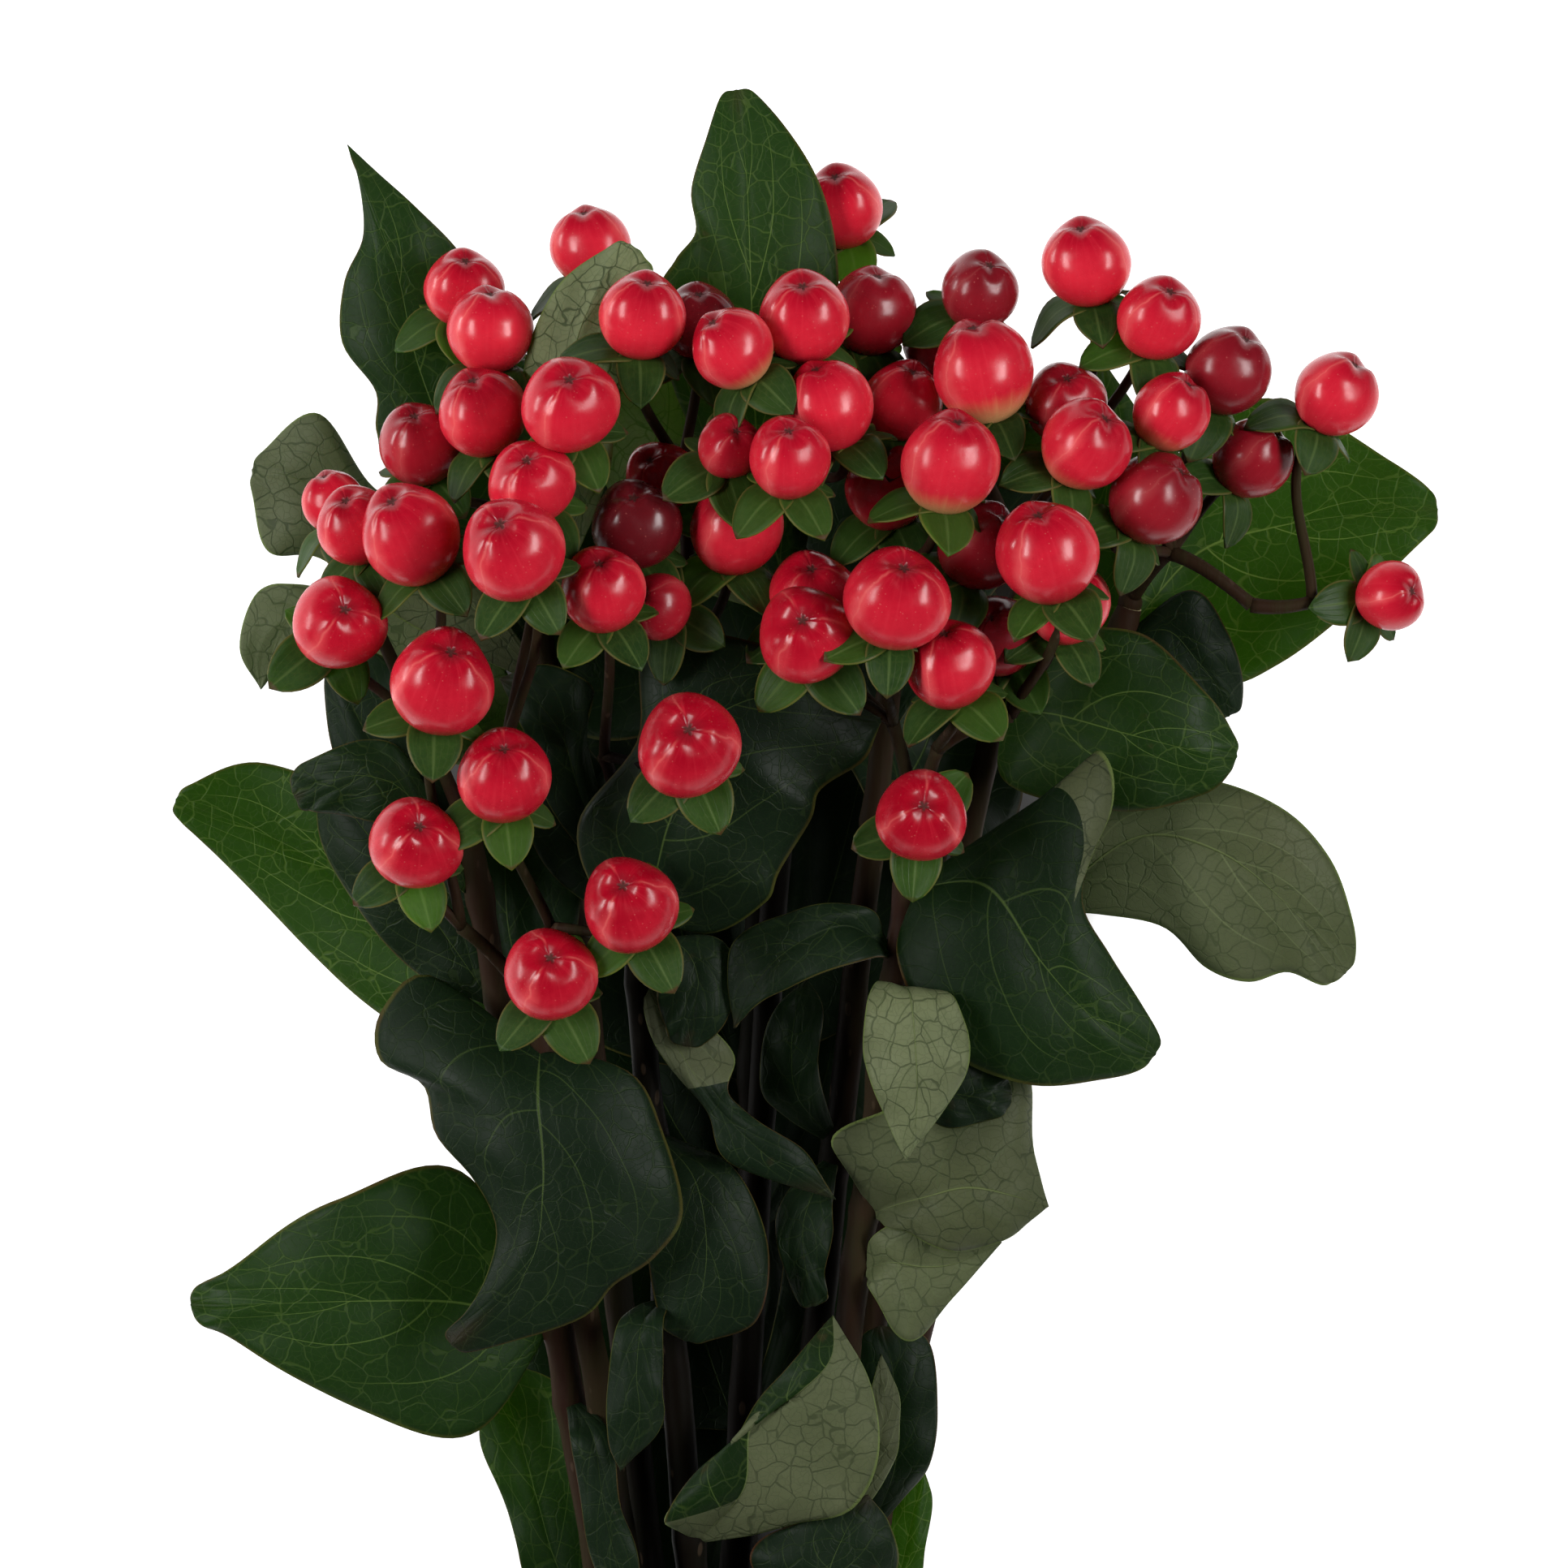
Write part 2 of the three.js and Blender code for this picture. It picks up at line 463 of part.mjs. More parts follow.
    left: [[6, 100, 6], [7, 110, 6], [10, 120, 6]],
    right: [[15, 90, 4.5], [23.5, 103, 4.5], [22.5, 117, 5]],
  },
  back_middle_left: {
    stem: "back", at: 108, finish: "dark", fused: true,
    mid: [[-3, 116, 7], [-7, 122, 6.8], [-11, 130, 6.8], [-15, 137.5, 6.8]],
    left: [[-9, 114, 6.8], [-17, 120, 6.8], [-21.5, 130, 6.8]],
    right: [[-0.8, 119, 7.5], [1.2, 126, 7], [-4, 134, 7]],
  },
  back_middle_right: {
    stem: "back", at: 110, finish: "dark", fused: true,
    mid: [[7, 117, 7.5], [10, 123, 7], [12, 129, 7], [13, 135, 7]],
    left: [[4.8, 120, 8], [5.5, 126, 7.5], [8, 132, 7]],
    right: [[12, 114, 7], [17.5, 121, 6.8], [18, 129, 6.8]],
  },
  back_base: {
    stem: "back", at: 50, finish: "dark", fused: true,
    mid: [[-4, 59, 4.5], [-6, 68, 4], [-7, 77, 4], [-7, 90, 4]],
    left: [[-9, 59, 4], [-14, 68, 3.5], [-14.5, 80, 3.5]],
    right: [[0, 62, 5], [1, 71, 5], [1.5, 83, 4.5]],
  },
  behind_left: {
    stem: "lower_left", at: 128, finish: "dark", fused: true,
    mid: [[-25, 137, 36.5], [-27.5, 147, 37], [-28, 158, 38], [-29, 169, 39]],
    left: [[-29, 139, 35.5], [-36, 150, 36.5], [-36, 161, 38]],
    right: [[-20.5, 140, 36.5], [-18.5, 150, 38], [-18.5, 160, 39]],
  },
  behind_far_right: {
    stem: "upper_right", at: 176, finish: "bright", fused: true,
    mid: [[41, 182, 28.5], [45, 193, 28.5], [47, 205, 28.5], [46, 217.5, 28.5]],
    left: [[39.5, 184, 28], [39.8, 197, 28.3], [40.5, 210, 28.5]],
    right: [[45.5, 181, 28.5], [52, 192, 28.5], [52, 207, 28.5]],
  },
  pale_below_right: {
    stem: "lower_right", at: 105, finish: "pale", fused: true,
    mid: [[20, 105.5, 37.5], [24, 105, 38], [28, 105.5, 38], [33.5, 108, 37.5]],
    left: [[18.5, 109.5, 38], [23.5, 110.5, 38.5], [29, 110, 38.5]],
    right: [[17.5, 102, 37], [20.3, 96.8, 37], [23.3, 96.2, 37], [27.5, 101.2, 37.2]],
  },
  bottom_edge: {
    stem: "lower_right", at: 72, finish: "pale", fused: true,
    mid: [[16.8, 79.5, 29.5], [18.7, 84.5, 31.5], [18.9, 89.5, 32], [18.6, 94, 31.5]],
    left: [[15.8, 79.8, 30.5], [16.8, 84.8, 32], [17.3, 89.8, 32.5]],
    right: [[19.3, 78.6, 29], [20.9, 84, 30.5], [20.6, 89.5, 31]],
  },
  bottom_right: {
    stem: "far_right", at: 56, finish: "bright", fused: true,
    mid: [[20.5, 65, 12.5], [22, 70, 13.5], [23, 75, 14.5], [23.8, 79.8, 14.5]],
    left: [[17.5, 66.5, 11.5], [19, 71.5, 12.5], [21.3, 77, 13.5]],
    right: [[22.5, 63.5, 12.5], [24.3, 69.5, 13.5], [24.9, 76, 14.5]],
  },
  small_right: {
    stem: "lower_right", at: 129, finish: "dark", fused: true,
    mid: [[24.5, 127, 46.5], [28, 126.4, 47.5], [31.5, 126, 47.5], [34.6, 126.4, 46]],
    left: [[25, 130, 46.5], [29.5, 130.8, 47.5], [33.7, 129, 46.5]],
    right: [[23.5, 124, 46], [27, 122.3, 46.5], [32.5, 123.4, 46]],
  },
  centre_inner: {
    stem: "centre_right", at: 118, finish: "dark", fused: true,
    mid: [[9.8, 113, 34], [8.9, 109, 35], [9.3, 104.5, 34.5], [10.5, 100, 32.5]],
    left: [[12.6, 113, 33.5], [12.6, 109, 34.5], [11.6, 103.8, 33.5]],
    right: [[6.6, 113.5, 33.5], [5.6, 109, 34.5], [6.9, 103.8, 33.5]],
  },
  centre_upright: {
    stem: "centre_right", at: 121, finish: "dark", fused: true,
    mid: [[8.3, 126, 35], [7.5, 131, 37], [8, 136, 37.5], [9.5, 140.5, 36.5]],
    left: [[4.6, 125.3, 34], [3.8, 131, 36], [5.4, 136.6, 37]],
    right: [[11, 128, 35.5], [11, 132.5, 37], [11.4, 137, 37]],
  },
};

// ---- working tools ------------------------------------------------------------------------------

const vec = (p) => new THREE.Vector3(p[0], p[1], p[2]);

// A closed solid from shared vertices and triangles that face outwards.
function solidFrom(vertices, triangles) {
  return new wasm.Manifold(
    new wasm.Mesh({
      numProp: 3,
      vertProperties: new Float32Array(vertices.flatMap((v) => [v.x, v.y, v.z])),
      triVerts: new Uint32Array(triangles.flat()),
    }),
  );
}

// A closed solid from a three.js geometry.
function solidOfGeometry(geometry) {
  geometry.deleteAttribute("normal");
  geometry.deleteAttribute("uv");
  const merged = mergeVertices(geometry, 1e-4);
  return new wasm.Manifold(
    new wasm.Mesh({
      numProp: 3,
      vertProperties: merged.attributes.position.array,
      triVerts: new Uint32Array(merged.index.array),
    }),
  );
}

// A skin over a stack of rings. Rings may have different counts; each end closes on a middle point.
function skin(rings, start, end) {
  const vertices = [start];
  const first = rings.map((ring) => {
    const index = vertices.length;
    vertices.push(...ring);
    return index;
  });
  vertices.push(end);
  const triangles = [];
  const at = (k, i) => first[k] + (i % rings[k].length);
  rings[0].forEach((_, i) => triangles.push([0, at(0, i + 1), at(0, i)]));
  for (let k = 0; k + 1 < rings.length; k++) {
    const n = rings[k].length;
    const m = rings[k + 1].length;
    let i = 0;
    let j = 0;
    while (i < n || j < m) {
      if (j >= m || (i < n && (i + 1) / n <= (j + 1) / m)) {
        triangles.push([at(k, i), at(k, i + 1), at(k + 1, j)]);
        i++;
      } else {
        triangles.push([at(k, i), at(k + 1, j + 1), at(k + 1, j)]);
        j++;
      }
    }
  }
  const last = rings.length - 1;
  rings[last].forEach((_, i) => triangles.push([vertices.length - 1, at(last, i), at(last, i + 1)]));
  return solidFrom(vertices, triangles);
}

// A round ring of points about a middle, in the plane across a direction.
function ringAbout(middle, across, upward, radius, sides) {
  return Array.from({ length: sides }, (_, i) => {
    const angle = (2 * Math.PI * i) / sides;
    return middle.clone()
      .addScaledVector(across, radius * Math.cos(angle))
      .addScaledVector(upward, radius * Math.sin(angle));
  });
}

// Rings along a curve, carried back from its end so that they don't twist.
function ringsAlong(curve, steps, radiusAt, sides, across) {
  const rings = [];
  let side = across.clone();
  for (let i = steps; i >= 0; i--) {
    const t = i / steps;
    const ahead = curve.getTangent(t);
    side.addScaledVector(ahead, -side.dot(ahead)).normalize();
    const up = ahead.clone().cross(side);
    rings.unshift(ringAbout(curve.getPoint(t), side, up, radiusAt(t), sides));
  }
  return rings;
}

// A direction square to another one, as near as can be to a wanted one.
function squareTo(direction, wanted) {
  return wanted.clone().addScaledVector(direction, -wanted.dot(direction)).normalize();
}

// A tube along a curve, closed at both ends.
function tube(curve, steps, radiusAt, sides) {
  const ahead = curve.getTangent(1);
  const wanted = Math.abs(ahead.z) < 0.8 ? new THREE.Vector3(0, 0, 1) : new THREE.Vector3(1, 0, 0);
  const rings = ringsAlong(curve, steps, radiusAt, sides, squareTo(ahead, wanted));
  return skin(rings, curve.getPoint(0), curve.getPoint(1));
}

// ---- stems --------------------------------------------------------------------------------------

// The middle of a stem, and its radius, at a place along the bunch.
function stemPoint(stem, y) {
  const column = (stem.column * PITCH) / 2;
  const height = FIRST_ROW + stem.row * ROW;
  if (y < STRAIGHT) {
    const away = Math.max(0, -y - STRAIGHT) / 145;
    return new THREE.Vector3(column * (1 + 0.5 * away), y, height - away * (1.3 + 0.3 * stem.row));
  }
  const part = Math.pow((y - STRAIGHT) / (stem.crown[1] - STRAIGHT), stem.fan);
  const x = THREE.MathUtils.lerp(column, stem.crown[0], part);
  return new THREE.Vector3(x, y, THREE.MathUtils.lerp(height, stem.crown[2], part));
}

function stemRadius(stem, y) {
  return STEM_RADIUS - STEM_TAPER * Math.pow(Math.max(0, y) / stem.crown[1], 2);
}

function stemDirection(stem, y) {
  return stemPoint(stem, y + 1).sub(stemPoint(stem, y - 1)).normalize();
}

const STEM_STATIONS = [0.18, 0.36, 0.53, 0.69, 0.85, 1];

function stemSolid(stem, grow) {
  const top = stem.crown[1] - GAP;
  const places = [
    -stem.foot, -0.5 * stem.foot, -STRAIGHT, STRAIGHT, ...STEM_STATIONS.map((s) => s * top),
  ];
  const rings = places.map((y) => {
    const ahead = stemDirection(stem, Math.min(y, top - 1));
    const across = squareTo(ahead, new THREE.Vector3(1, 0, 0));
    const up = ahead.clone().cross(across);
    return ringAbout(stemPoint(stem, y), across, up, stemRadius(stem, y) + grow, STEM_SIDES);
  });
  return skin(rings, stemPoint(stem, -stem.foot), stemPoint(stem, top));
}

// ---- sprays -------------------------------------------------------------------------------------

// The way a berry points, from its lean across and along; a back berry points down.
function berryAim(berry, down) {
  const rise = Math.sqrt(Math.max(0, 1 - berry[4] ** 2 - berry[5] ** 2));
  return new THREE.Vector3(berry[4], berry[5], down ? -rise : rise).normalize();
}

// The outline of the five sepals seen along the berry: [angle, way out] for each tip and notch.
function calyxOutline(length) {
  const points = [];
  for (let sepal = 0; sepal < 5; sepal++) {
    const middle = (sepal * 2 * Math.PI) / 5;
    points.push([middle, sepal % 2 === 0 ? length : SMALL_SEPAL * length]);
    points.push([middle + Math.PI / 5, NOTCH * length]);
  }
  return points;
}

// One berry with its sepals and the pedicel that carries it, as one closed skin.
function berrySolid(berry, number, down, from, grow) {
  const aim = berryAim(berry, down);
  const radius = berry[3] + grow;
  const middle = vec(berry);
  const toViewer = squareTo(aim, new THREE.Vector3(0, -0.5, down ? -1 : 1));
  const side = toViewer.applyAxisAngle(aim, 0.5 * Math.sin(12.9 * number));
  const up = aim.clone().cross(side);
  const base = middle.clone().addScaledVector(aim, -berry[3]);
  const reach = base.distanceTo(from);
  const curve = new THREE.CubicBezierCurve3(
    from,
    from.clone().lerp(base, 0.35),
    base.clone().addScaledVector(aim, -0.4 * reach),
    base.clone().addScaledVector(aim, -0.6),
  );
  const droop = THREE.MathUtils.lerp(0.95, 0.35, Math.abs(aim.z));
  const rim = (lift) => calyxOutline(SEPAL_LENGTH + grow).map(([angle, out]) => {
    const ray = side.clone().multiplyScalar(Math.cos(angle)).addScaledVector(up, Math.sin(angle));
    return base.clone()
      .addScaledVector(ray, 1.2 + out * Math.cos(droop))
      .addScaledVector(aim, lift - out * Math.sin(droop));
  });
  const belly = (height, girth) => Array.from({ length: BERRY_SIDES }, (_, i) => {
    const angle = (2 * Math.PI * i) / BERRY_SIDES;
    const reachOut = radius * girth * (1 + BERRY_LOBE * Math.cos(5 * angle));
    return middle.clone()
      .addScaledVector(aim, radius * height)
      .addScaledVector(side, reachOut * Math.cos(angle))
      .addScaledVector(up, reachOut * Math.sin(angle));
  });
  const rings = [
    ...ringsAlong(curve, 2, () => PEDICEL_RADIUS + grow, PEDICEL_SIDES, side),
    ...(grow > 0 ? [rim(-grow), rim(grow)] : [rim(0)]),
    belly(-0.72, 0.66),
    belly(0.02, 1),
    belly(0.76, 0.62),
  ];
  return skin(rings, curve.getPoint(0), middle.clone().addScaledVector(aim, radius * 0.92));
}

function spraySolid(name, grow) {
  const stem = STEMS[name];
  const spray = SPRAYS[name];
  const crown = stemPoint(stem, stem.crown[1]);
  const ahead = stemDirection(stem, stem.crown[1] - 2);
  const hubTop = crown.clone().addScaledVector(ahead, HUB_LENGTH);
  const hub = new THREE.LineCurve3(crown, hubTop);
  let whole = tube(hub, 1, () => HUB_RADIUS + grow, STEM_SIDES);
  const places = [crown.clone().addScaledVector(ahead, HUB_LENGTH - 0.8)];
  for (const [x, y, z, parent] of spray.forks) {
    const fork = new THREE.Vector3(x, y, z);
    const from = places[parent];
    const bend = from.clone().lerp(fork, 0.4).addScaledVector(ahead, parent === 0 ? 2 : 0);
    const branch = new THREE.QuadraticBezierCurve3(from, bend, fork);
    whole = whole.add(tube(branch, 2, (t) => BRANCH_RADIUS - 0.15 * t + grow, BRANCH_SIDES));
    places.push(fork);
  }
  spray.berries.forEach((berry, i) => {
    whole = whole.add(berrySolid(berry, i, false, places[berry[6]], grow));
  });
  spray.back.forEach((berry, i) => {
    whole = whole.add(berrySolid(berry, i, true, places[berry[6]], grow));
  });
  return whole;
}

// ---- leaves -------------------------------------------------------------------------------------

// Where a leaf's foot sits: on the bark of its stem, or sunk in it when the two are one piece.
function leafFoot(leaf) {
  const stem = STEMS[leaf.stem];
  const axis = stemPoint(stem, leaf.at);
  const ahead = stemDirection(stem, leaf.at);
  const outward = squareTo(ahead, vec(leaf.mid[0]).sub(axis));
  const out = leaf.fused ? 0.3 : stemRadius(stem, leaf.at) + SEAT;
  return axis.addScaledVector(outward, out);
}

function leafSolid(leaf, grow) {
  const rowCount = leaf.fused ? FUSED_LEAF_ROWS : LEAF_ROWS;
  const foot = leafFoot(leaf);
  const along = vec(leaf.mid[0]).sub(foot).normalize();
  const leftward = squareTo(along, vec(leaf.left[0]).sub(vec(leaf.right[0])));
  const tip = vec(leaf.mid.at(-1));
  const rail = (start, points) => new THREE.CatmullRomCurve3(
    [start, ...points.map(vec), tip], false, "catmullrom", 0.5,
  );
  const offFoot = (reach) => foot.clone().addScaledVector(leftward, reach);
  const rails = [
    rail(offFoot(FOOT_HALF_WIDTH + grow), leaf.left),
    rail(foot, leaf.mid.slice(0, -1)),
    rail(offFoot(-FOOT_HALF_WIDTH - grow), leaf.right),
  ];
  const rows = [];
  for (let row = 0; row < rowCount; row++) {
    const points = rails.map((curve) => curve.getPoint(row / rowCount));
    for (const k of [0, 2]) {
      const outward = points[k].clone().sub(points[1]).normalize();
      points[k].addScaledVector(outward, grow);
    }
    rows.push(points);
  }
  const flat = [...rows.flat(), tip];
  const faces = [];
  for (let row = 0; row + 1 < rowCount; row++) {
    for (let k = 0; k < 2; k++) {
      const a = 3 * row + k;
      faces.push([a, a + 1, a + 3], [a + 1, a + 4, a + 3]);
    }
  }
  const last = 3 * (rowCount - 1);
  const tipIndex = flat.length - 1;
  faces.push([last, last + 1, tipIndex], [last + 1, last + 2, tipIndex]);
  const normals = flat.map(() => new THREE.Vector3());
  for (const [a, b, c] of faces) {
    const normal = flat[b].clone().sub(flat[a]).cross(flat[c].clone().sub(flat[a]));
    [a, b, c].forEach((i) => normals[i].add(normal));
  }
  normals.forEach((normal) => normal.normalize());
  const half = BLADE / 2 + grow;
  const upper = flat.map((p, i) => p.clone().addScaledVector(normals[i], half));
  const lower = flat.map((p, i) => p.clone().addScaledVector(normals[i], -half));
  const count = flat.length;
  const triangles = [...faces];
  faces.forEach(([a, b, c]) => triangles.push([a + count, c + count, b + count]));
  const border = [2, 1, 0];
  for (let row = 1; row < rowCount; row++) border.push(3 * row);
  border.push(tipIndex);
  for (let row = rowCount - 1; row > 0; row--) border.push(3 * row + 2);
  border.forEach((a, i) => {
    const b = border[(i + 1) % border.length];
    triangles.push([a, b, a + count], [b, b + count, a + count]);
  });
  return solidFrom([...upper, ...lower], triangles);
}

// ---- the tie ------------------------------------------------------------------------------------

// The outline round the bundle of stems, a given distance outside their bark.
function bundleOutline(path, away) {
  const corners = [[-2, 0], [2, 0], [3, 1], [2, 2], [-2, 2], [-3, 1]];
  corners.forEach(([column, row], i) => {
    const from = THREE.MathUtils.degToRad(60 * i - 150);
    const to = THREE.MathUtils.degToRad(60 * i - 90);
    path.absarc((column * PITCH) / 2, FIRST_ROW + row * ROW, STEM_RADIUS + away, from, to, false);
  });
  path.closePath();
  return path;
}

function tieSolid() {
  const section = bundleOutline(new THREE.Shape(), GAP + TIE_WALL);
  section.holes.push(bundleOutline(new THREE.Path(), GAP));
  const band = new THREE.ExtrudeGeometry(section, {
    depth: TIE_WIDTH,
    bevelEnabled: false,
    curveSegments: 1,
  });
  band.rotateX(Math.PI / 2);
  band.translate(0, TIE_WIDTH / 2, 0);
  return solidOfGeometry(band);
}

// ---- the assembly -------------------------------------------------------------------------------

function boxOf(solid) {
  return new THREE.Box3().setFromArray(solid.getMesh().vertProperties);
}

// A solid cut back to stay clear of its neighbours.
function clearOf(solid, neighbours) {
  const reach = boxOf(solid);
  return neighbours
    .filter((neighbour) => reach.intersectsBox(neighbour.box))
    .reduce((kept, neighbour) => kept.subtract(neighbour.grown), solid);
}

// The triangles of the largest of the bodies in a mesh, without the crumbs that a cut can leave.
function largestBody(triangles, vertexCount) {
  const owner = Array.from({ length: vertexCount }, (_, i) => i);
  const ownerOf = (i) => {
    while (owner[i] !== i) i = owner[i];
    return i;
  };
  for (let k = 0; k < triangles.length; k += 3) {
    owner[ownerOf(triangles[k + 1])] = ownerOf(triangles[k]);
    owner[ownerOf(triangles[k + 2])] = ownerOf(triangles[k]);
  }
  const bodies = new Map();
  for (let k = 0; k < triangles.length; k += 3) {
    const body = ownerOf(triangles[k]);
    if (!bodies.has(body)) bodies.set(body, []);
    bodies.get(body).push(triangles[k], triangles[k + 1], triangles[k + 2]);
  }
  return [...bodies.values()].reduce((a, b) => (b.length > a.length ? b : a));
}

// The surface that the bunch lies on: nothing reaches below it.
const surface = solidOfGeometry(new THREE.BoxGeometry(600, 600, 40).translate(0, 0, -20));

const bunch = new THREE.Group();

function addPiece(name, solid, finish) {
  const mesh = solid.getMesh();
  const geometry = new THREE.BufferGeometry();
  geometry.setAttribute("position", new THREE.BufferAttribute(mesh.vertProperties, 3));
  geometry.setIndex(largestBody(mesh.triVerts, mesh.vertProperties.length / 3));
  geometry.computeVertexNormals();
  const piece = new THREE.Mesh(geometry, new THREE.MeshStandardMaterial(FINISHES[finish]));
  piece.name = name;
  bunch.add(piece);
}

// The pieces made so far, each grown by the gap that later pieces keep to it.
const neighbours = [];

function addNeighbour(name, grown) {
  neighbours.push({ name, grown, box: boxOf(grown) });
}

const joined = (solids) => solids.reduce((a, b) => a.add(b));

for (const [name, stem] of Object.entries(STEMS)) {
  const leaves = Object.values(LEAVES).filter((leaf) => leaf.fused && leaf.stem === name);
  const parts = (grow) => [stemSolid(stem, grow), ...leaves.map((leaf) => leafSolid(leaf, grow))];
  addPiece("stem_" + name, clearOf(joined(parts(0)), neighbours), "bark");
  addNeighbour(name, joined(parts(GAP)));
}

for (const name of Object.keys(SPRAYS)) {
  const others = neighbours.filter((neighbour) => neighbour.name !== name);
  const spray = clearOf(spraySolid(name, 0), others);
  addPiece("spray_" + name, spray.subtract(surface), "berry");
  addNeighbour("spray_" + name, spraySolid(name, GAP));
}

for (const [name, leaf] of Object.entries(LEAVES).filter((entry) => !entry[1].fused)) {
  addPiece("leaf_" + name, clearOf(leafSolid(leaf, 0), neighbours), leaf.finish);
  addNeighbour("leaf_" + name, leafSolid(leaf, GAP));
}

addPiece("tie", tieSolid(), "band");

export default bunch;
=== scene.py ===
"""A tied bunch of hypericum: stems, leaves, berries on their sepals, and the band that ties them."""

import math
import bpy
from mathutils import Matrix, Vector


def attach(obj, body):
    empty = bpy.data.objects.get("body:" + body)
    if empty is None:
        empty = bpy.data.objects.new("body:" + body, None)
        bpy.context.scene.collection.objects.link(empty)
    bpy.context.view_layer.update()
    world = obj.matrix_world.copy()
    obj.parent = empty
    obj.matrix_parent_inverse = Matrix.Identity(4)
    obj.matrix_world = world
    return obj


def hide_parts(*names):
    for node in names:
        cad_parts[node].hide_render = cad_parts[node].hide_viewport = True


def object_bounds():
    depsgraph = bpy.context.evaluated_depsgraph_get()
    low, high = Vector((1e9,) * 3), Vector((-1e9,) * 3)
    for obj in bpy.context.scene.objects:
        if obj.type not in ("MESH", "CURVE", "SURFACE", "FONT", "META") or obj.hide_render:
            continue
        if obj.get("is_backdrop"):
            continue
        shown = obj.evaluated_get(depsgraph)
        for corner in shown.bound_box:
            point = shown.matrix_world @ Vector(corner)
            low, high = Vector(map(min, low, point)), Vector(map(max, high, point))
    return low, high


bl_info = {
    "name": "Hypericum Bunch",
    "version": (1, 0, 0),
    "blender": (4, 5, 0),
    "location": "View3D > Sidebar > Hypericum",
    "description": "Builds a bunch of hypericum stems with berries, sepals, leaves and a band",
    "category": "Add Mesh",
}

from collections import namedtuple
from random import Random

import bmesh
import bpy
from bpy.props import FloatProperty, FloatVectorProperty, PointerProperty
from mathutils import Matrix, Vector, noise

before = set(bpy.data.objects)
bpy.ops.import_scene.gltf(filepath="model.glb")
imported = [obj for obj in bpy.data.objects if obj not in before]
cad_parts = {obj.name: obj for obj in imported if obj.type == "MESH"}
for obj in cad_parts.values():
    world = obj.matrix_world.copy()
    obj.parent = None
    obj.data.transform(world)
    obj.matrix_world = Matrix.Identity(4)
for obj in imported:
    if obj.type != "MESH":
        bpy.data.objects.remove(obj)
CAD_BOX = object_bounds()

MM = 0.001

# ---- how the bunch is put together, in millimetres ---------------------------------------------------

GAP = 0.3  # between a stem's top and its spray
STEM_RADIUS = 2.1
STEM_TAPER = 0.6
PITCH = 4.7  # between neighbouring stems in the tie
ROW = PITCH * math.sin(math.pi / 3)
TIE_WALL = 1.2
FIRST_ROW = TIE_WALL + GAP + STEM_RADIUS
STRAIGHT = 5  # the stems are straight this far each side of the tie's middle
FOOT_REACH = 145  # below the tie, over which the stems spread by a part and sink by a length
FOOT_SPREAD = 0.5
FOOT_DROP = 1.3
ROW_DROP = 0.3  # how much further each higher row sinks
HUB_LENGTH = 2.4
HUB_RADIUS = 1.45
BRANCH_RADIUS = 1.0
PEDICEL_RADIUS = 0.6
FOOT_HALF_WIDTH = 0.9  # of a leaf where it leaves its stem

Stem = namedtuple("Stem", "column row crown foot fan")
Spray = namedtuple("Spray", "forks berries back")
Berry = namedtuple("Berry", "x y z radius lean_x lean_y fork dark cream number down")
Leaf = namedtuple("Leaf", "stem at finish middle left right fused", defaults=(False,))

# column: place across the tie in half pitches; row: 0 is the lowest; crown: where the spray starts;
# foot: how far the cut end lies below the tie; fan: 1 is straight, more stays narrow for longer.
STEMS = {
    "far_right": Stem(3, 1, (49, 186, 40), 146, 1.4),
    "upper_right": Stem(2, 0, (36, 188, 33), 150, 1.3),
    "centre_right": Stem(1, 1, (20, 180, 41), 143, 1.15),
    "lower_right": Stem(2, 2, (22.5, 158, 47), 138, 1.15),
    "top_centre": Stem(-1, 1, (8, 192, 36), 148, 1.15),
    "centre": Stem(0, 2, (-13, 158, 46), 141, 1.1),
    "upper_left": Stem(-2, 0, (-24, 188, 33), 147, 1.15),
    "left": Stem(-3, 1, (-32, 157, 46), 144, 1.1),
    "lower_left": Stem(-2, 2, (-24, 136, 46), 137, 1.15),
    "back": Stem(0, 0, (4, 175, 15), 149, 1.1),
}

